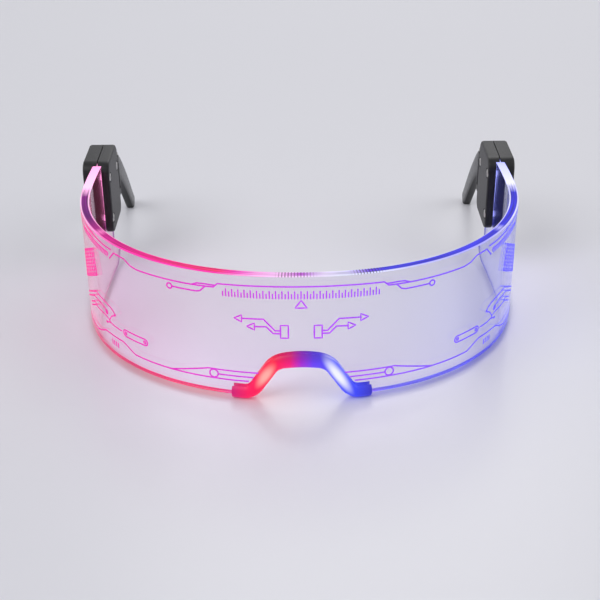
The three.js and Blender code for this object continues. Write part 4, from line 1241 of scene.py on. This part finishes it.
pieces_of = {
    "pod_plastic": ("pod_outer_shell", "pod_inner_shell", "battery_door"),
    "arm_plastic": ("arm",),
    "button_plastic": ("button", "switch_stem"),
    "screw_steel": (
        "battery_door_screw", "hinge_screw", "pod_screw_upper", "pod_screw_lower", "pod_screw_rear"),
    "cell_steel": ("cell_inner", "cell_outer"),
    "contact_steel": ("contact_negative", "contact_positive"),
    "board_laminate": ("circuit_board",),
    "chip_epoxy": ("driver_chip",),
    "switch_plastic": ("switch_body",),
}
finish_of = {kind: finish for finish, kinds in pieces_of.items() for kind in kinds}
replaced = ("visor_sheet", "nose_tube")
for name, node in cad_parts.items():
    if name in replaced:
        continue
    side, kind = name.split("_", 1)
    finish = finish_of.get(kind, f"lamp_resin_{side}")
    node.data.materials.clear()
    node.data.materials.append(finishes[finish])
    run_tree(node, soften)
    weighted = node.modifiers.new("normals", "WEIGHTED_NORMAL")
    weighted.keep_sharp = True
print("finished packed pieces:", len(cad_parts) - len(replaced))

# %% [markdown]
# ## Grip ribs
# A small moulded door needs something for a thumb to push on: five low ribs with round crests.
# A bump in the finish would look flat from the side, so the ribs are real. One rib is a lofted
# oval ridge, built in code, and a tree of its own repeats it up the door.

# %% One grip rib
rib_length = 7.0 * mm
rib_width = 0.62 * mm
rib_rise = 0.24 * mm
rib_root = 0.1 * mm
rib_end_steps = 6
# Each level of the ridge has its height above the door and its share of the width.
rib_levels = [(-rib_root, 1.0), (rib_rise * 0.45, 0.95), (rib_rise * 0.85, 0.65), (rib_rise, 0.25)]
ridge = []
for rise, share_of_width in rib_levels:
    for end in (1, -1):
        for k in range(rib_end_steps + 1):
            turn = end * math.pi / 2 - math.pi * k / rib_end_steps
            reach = rib_width / 2 * share_of_width
            middle_y = end * (rib_length - rib_width) / 2
            ridge.append((rise, middle_y + end * abs(math.cos(turn)) * reach, math.sin(turn) * reach))
around = 2 * (rib_end_steps + 1)
top_level = len(rib_levels) - 1
ridge_faces = []
for level in range(top_level):
    for k in range(around):
        a = level * around + k
        b = level * around + (k + 1) % around
        ridge_faces.append((a, b, b + around, a + around))
ridge_faces += [tuple(reversed(range(around))), tuple(top_level * around + k for k in range(around))]
print(f"one rib: {len(ridge)} points")

# %% Rows of ribs on the battery doors
rib_count = 5
rib_pitch = 1.15 * mm
rib_top_gap = 1.6 * mm
ribs, given = new_tree("row_of_ribs", Count="Int", Pitch="Float", Finish="Material")
step = add(ribs, "ShaderNodeCombineXYZ", {"Z": given["Pitch"]})
row = add(ribs, "GeometryNodeMeshLine", {"Count": given["Count"], "Offset": step})
placed = add(ribs, "GeometryNodeInstanceOnPoints", {"Points": row, "Instance": given["Geometry"]})
real = add(ribs, "GeometryNodeRealizeInstances", {"Geometry": placed})
finished = add(ribs, "GeometryNodeSetMaterial", {"Geometry": real, "Material": given["Finish"]})
add(ribs, "NodeGroupOutput", {"Geometry": finished})
for side, name in ((-1, "left"), (1, "right")):
    low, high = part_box(f"{name}_battery_door")
    face_x = low.x if side < 0 else high.x
    middle_y = (low.y + high.y) / 2
    lowest_z = high.z - rib_top_gap - (rib_count - 1) * rib_pitch
    rib = new_object(f"{name}_door_ribs", ridge, [], ridge_faces)
    run_tree(rib, ribs, Count=rib_count, Pitch=rib_pitch, Finish=finishes["pod_plastic"])
    keep_mesh(rib)
    turn_out = Matrix.Rotation(0 if side > 0 else math.pi, 4, "Z")
    rib.data.transform(Matrix.Translation((face_x, middle_y, lowest_z)) @ turn_out)
    rib.data.shade_smooth()
    rib.data.set_sharp_from_angle(angle=math.radians(50))
    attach(rib, "visor")

# %% [markdown]
# ## Finish
# The two construction lines aren't part of the object and go.

# %% Remove the construction lines
for helper in (plan_line, tube_section):
    bpy.data.objects.remove(helper)
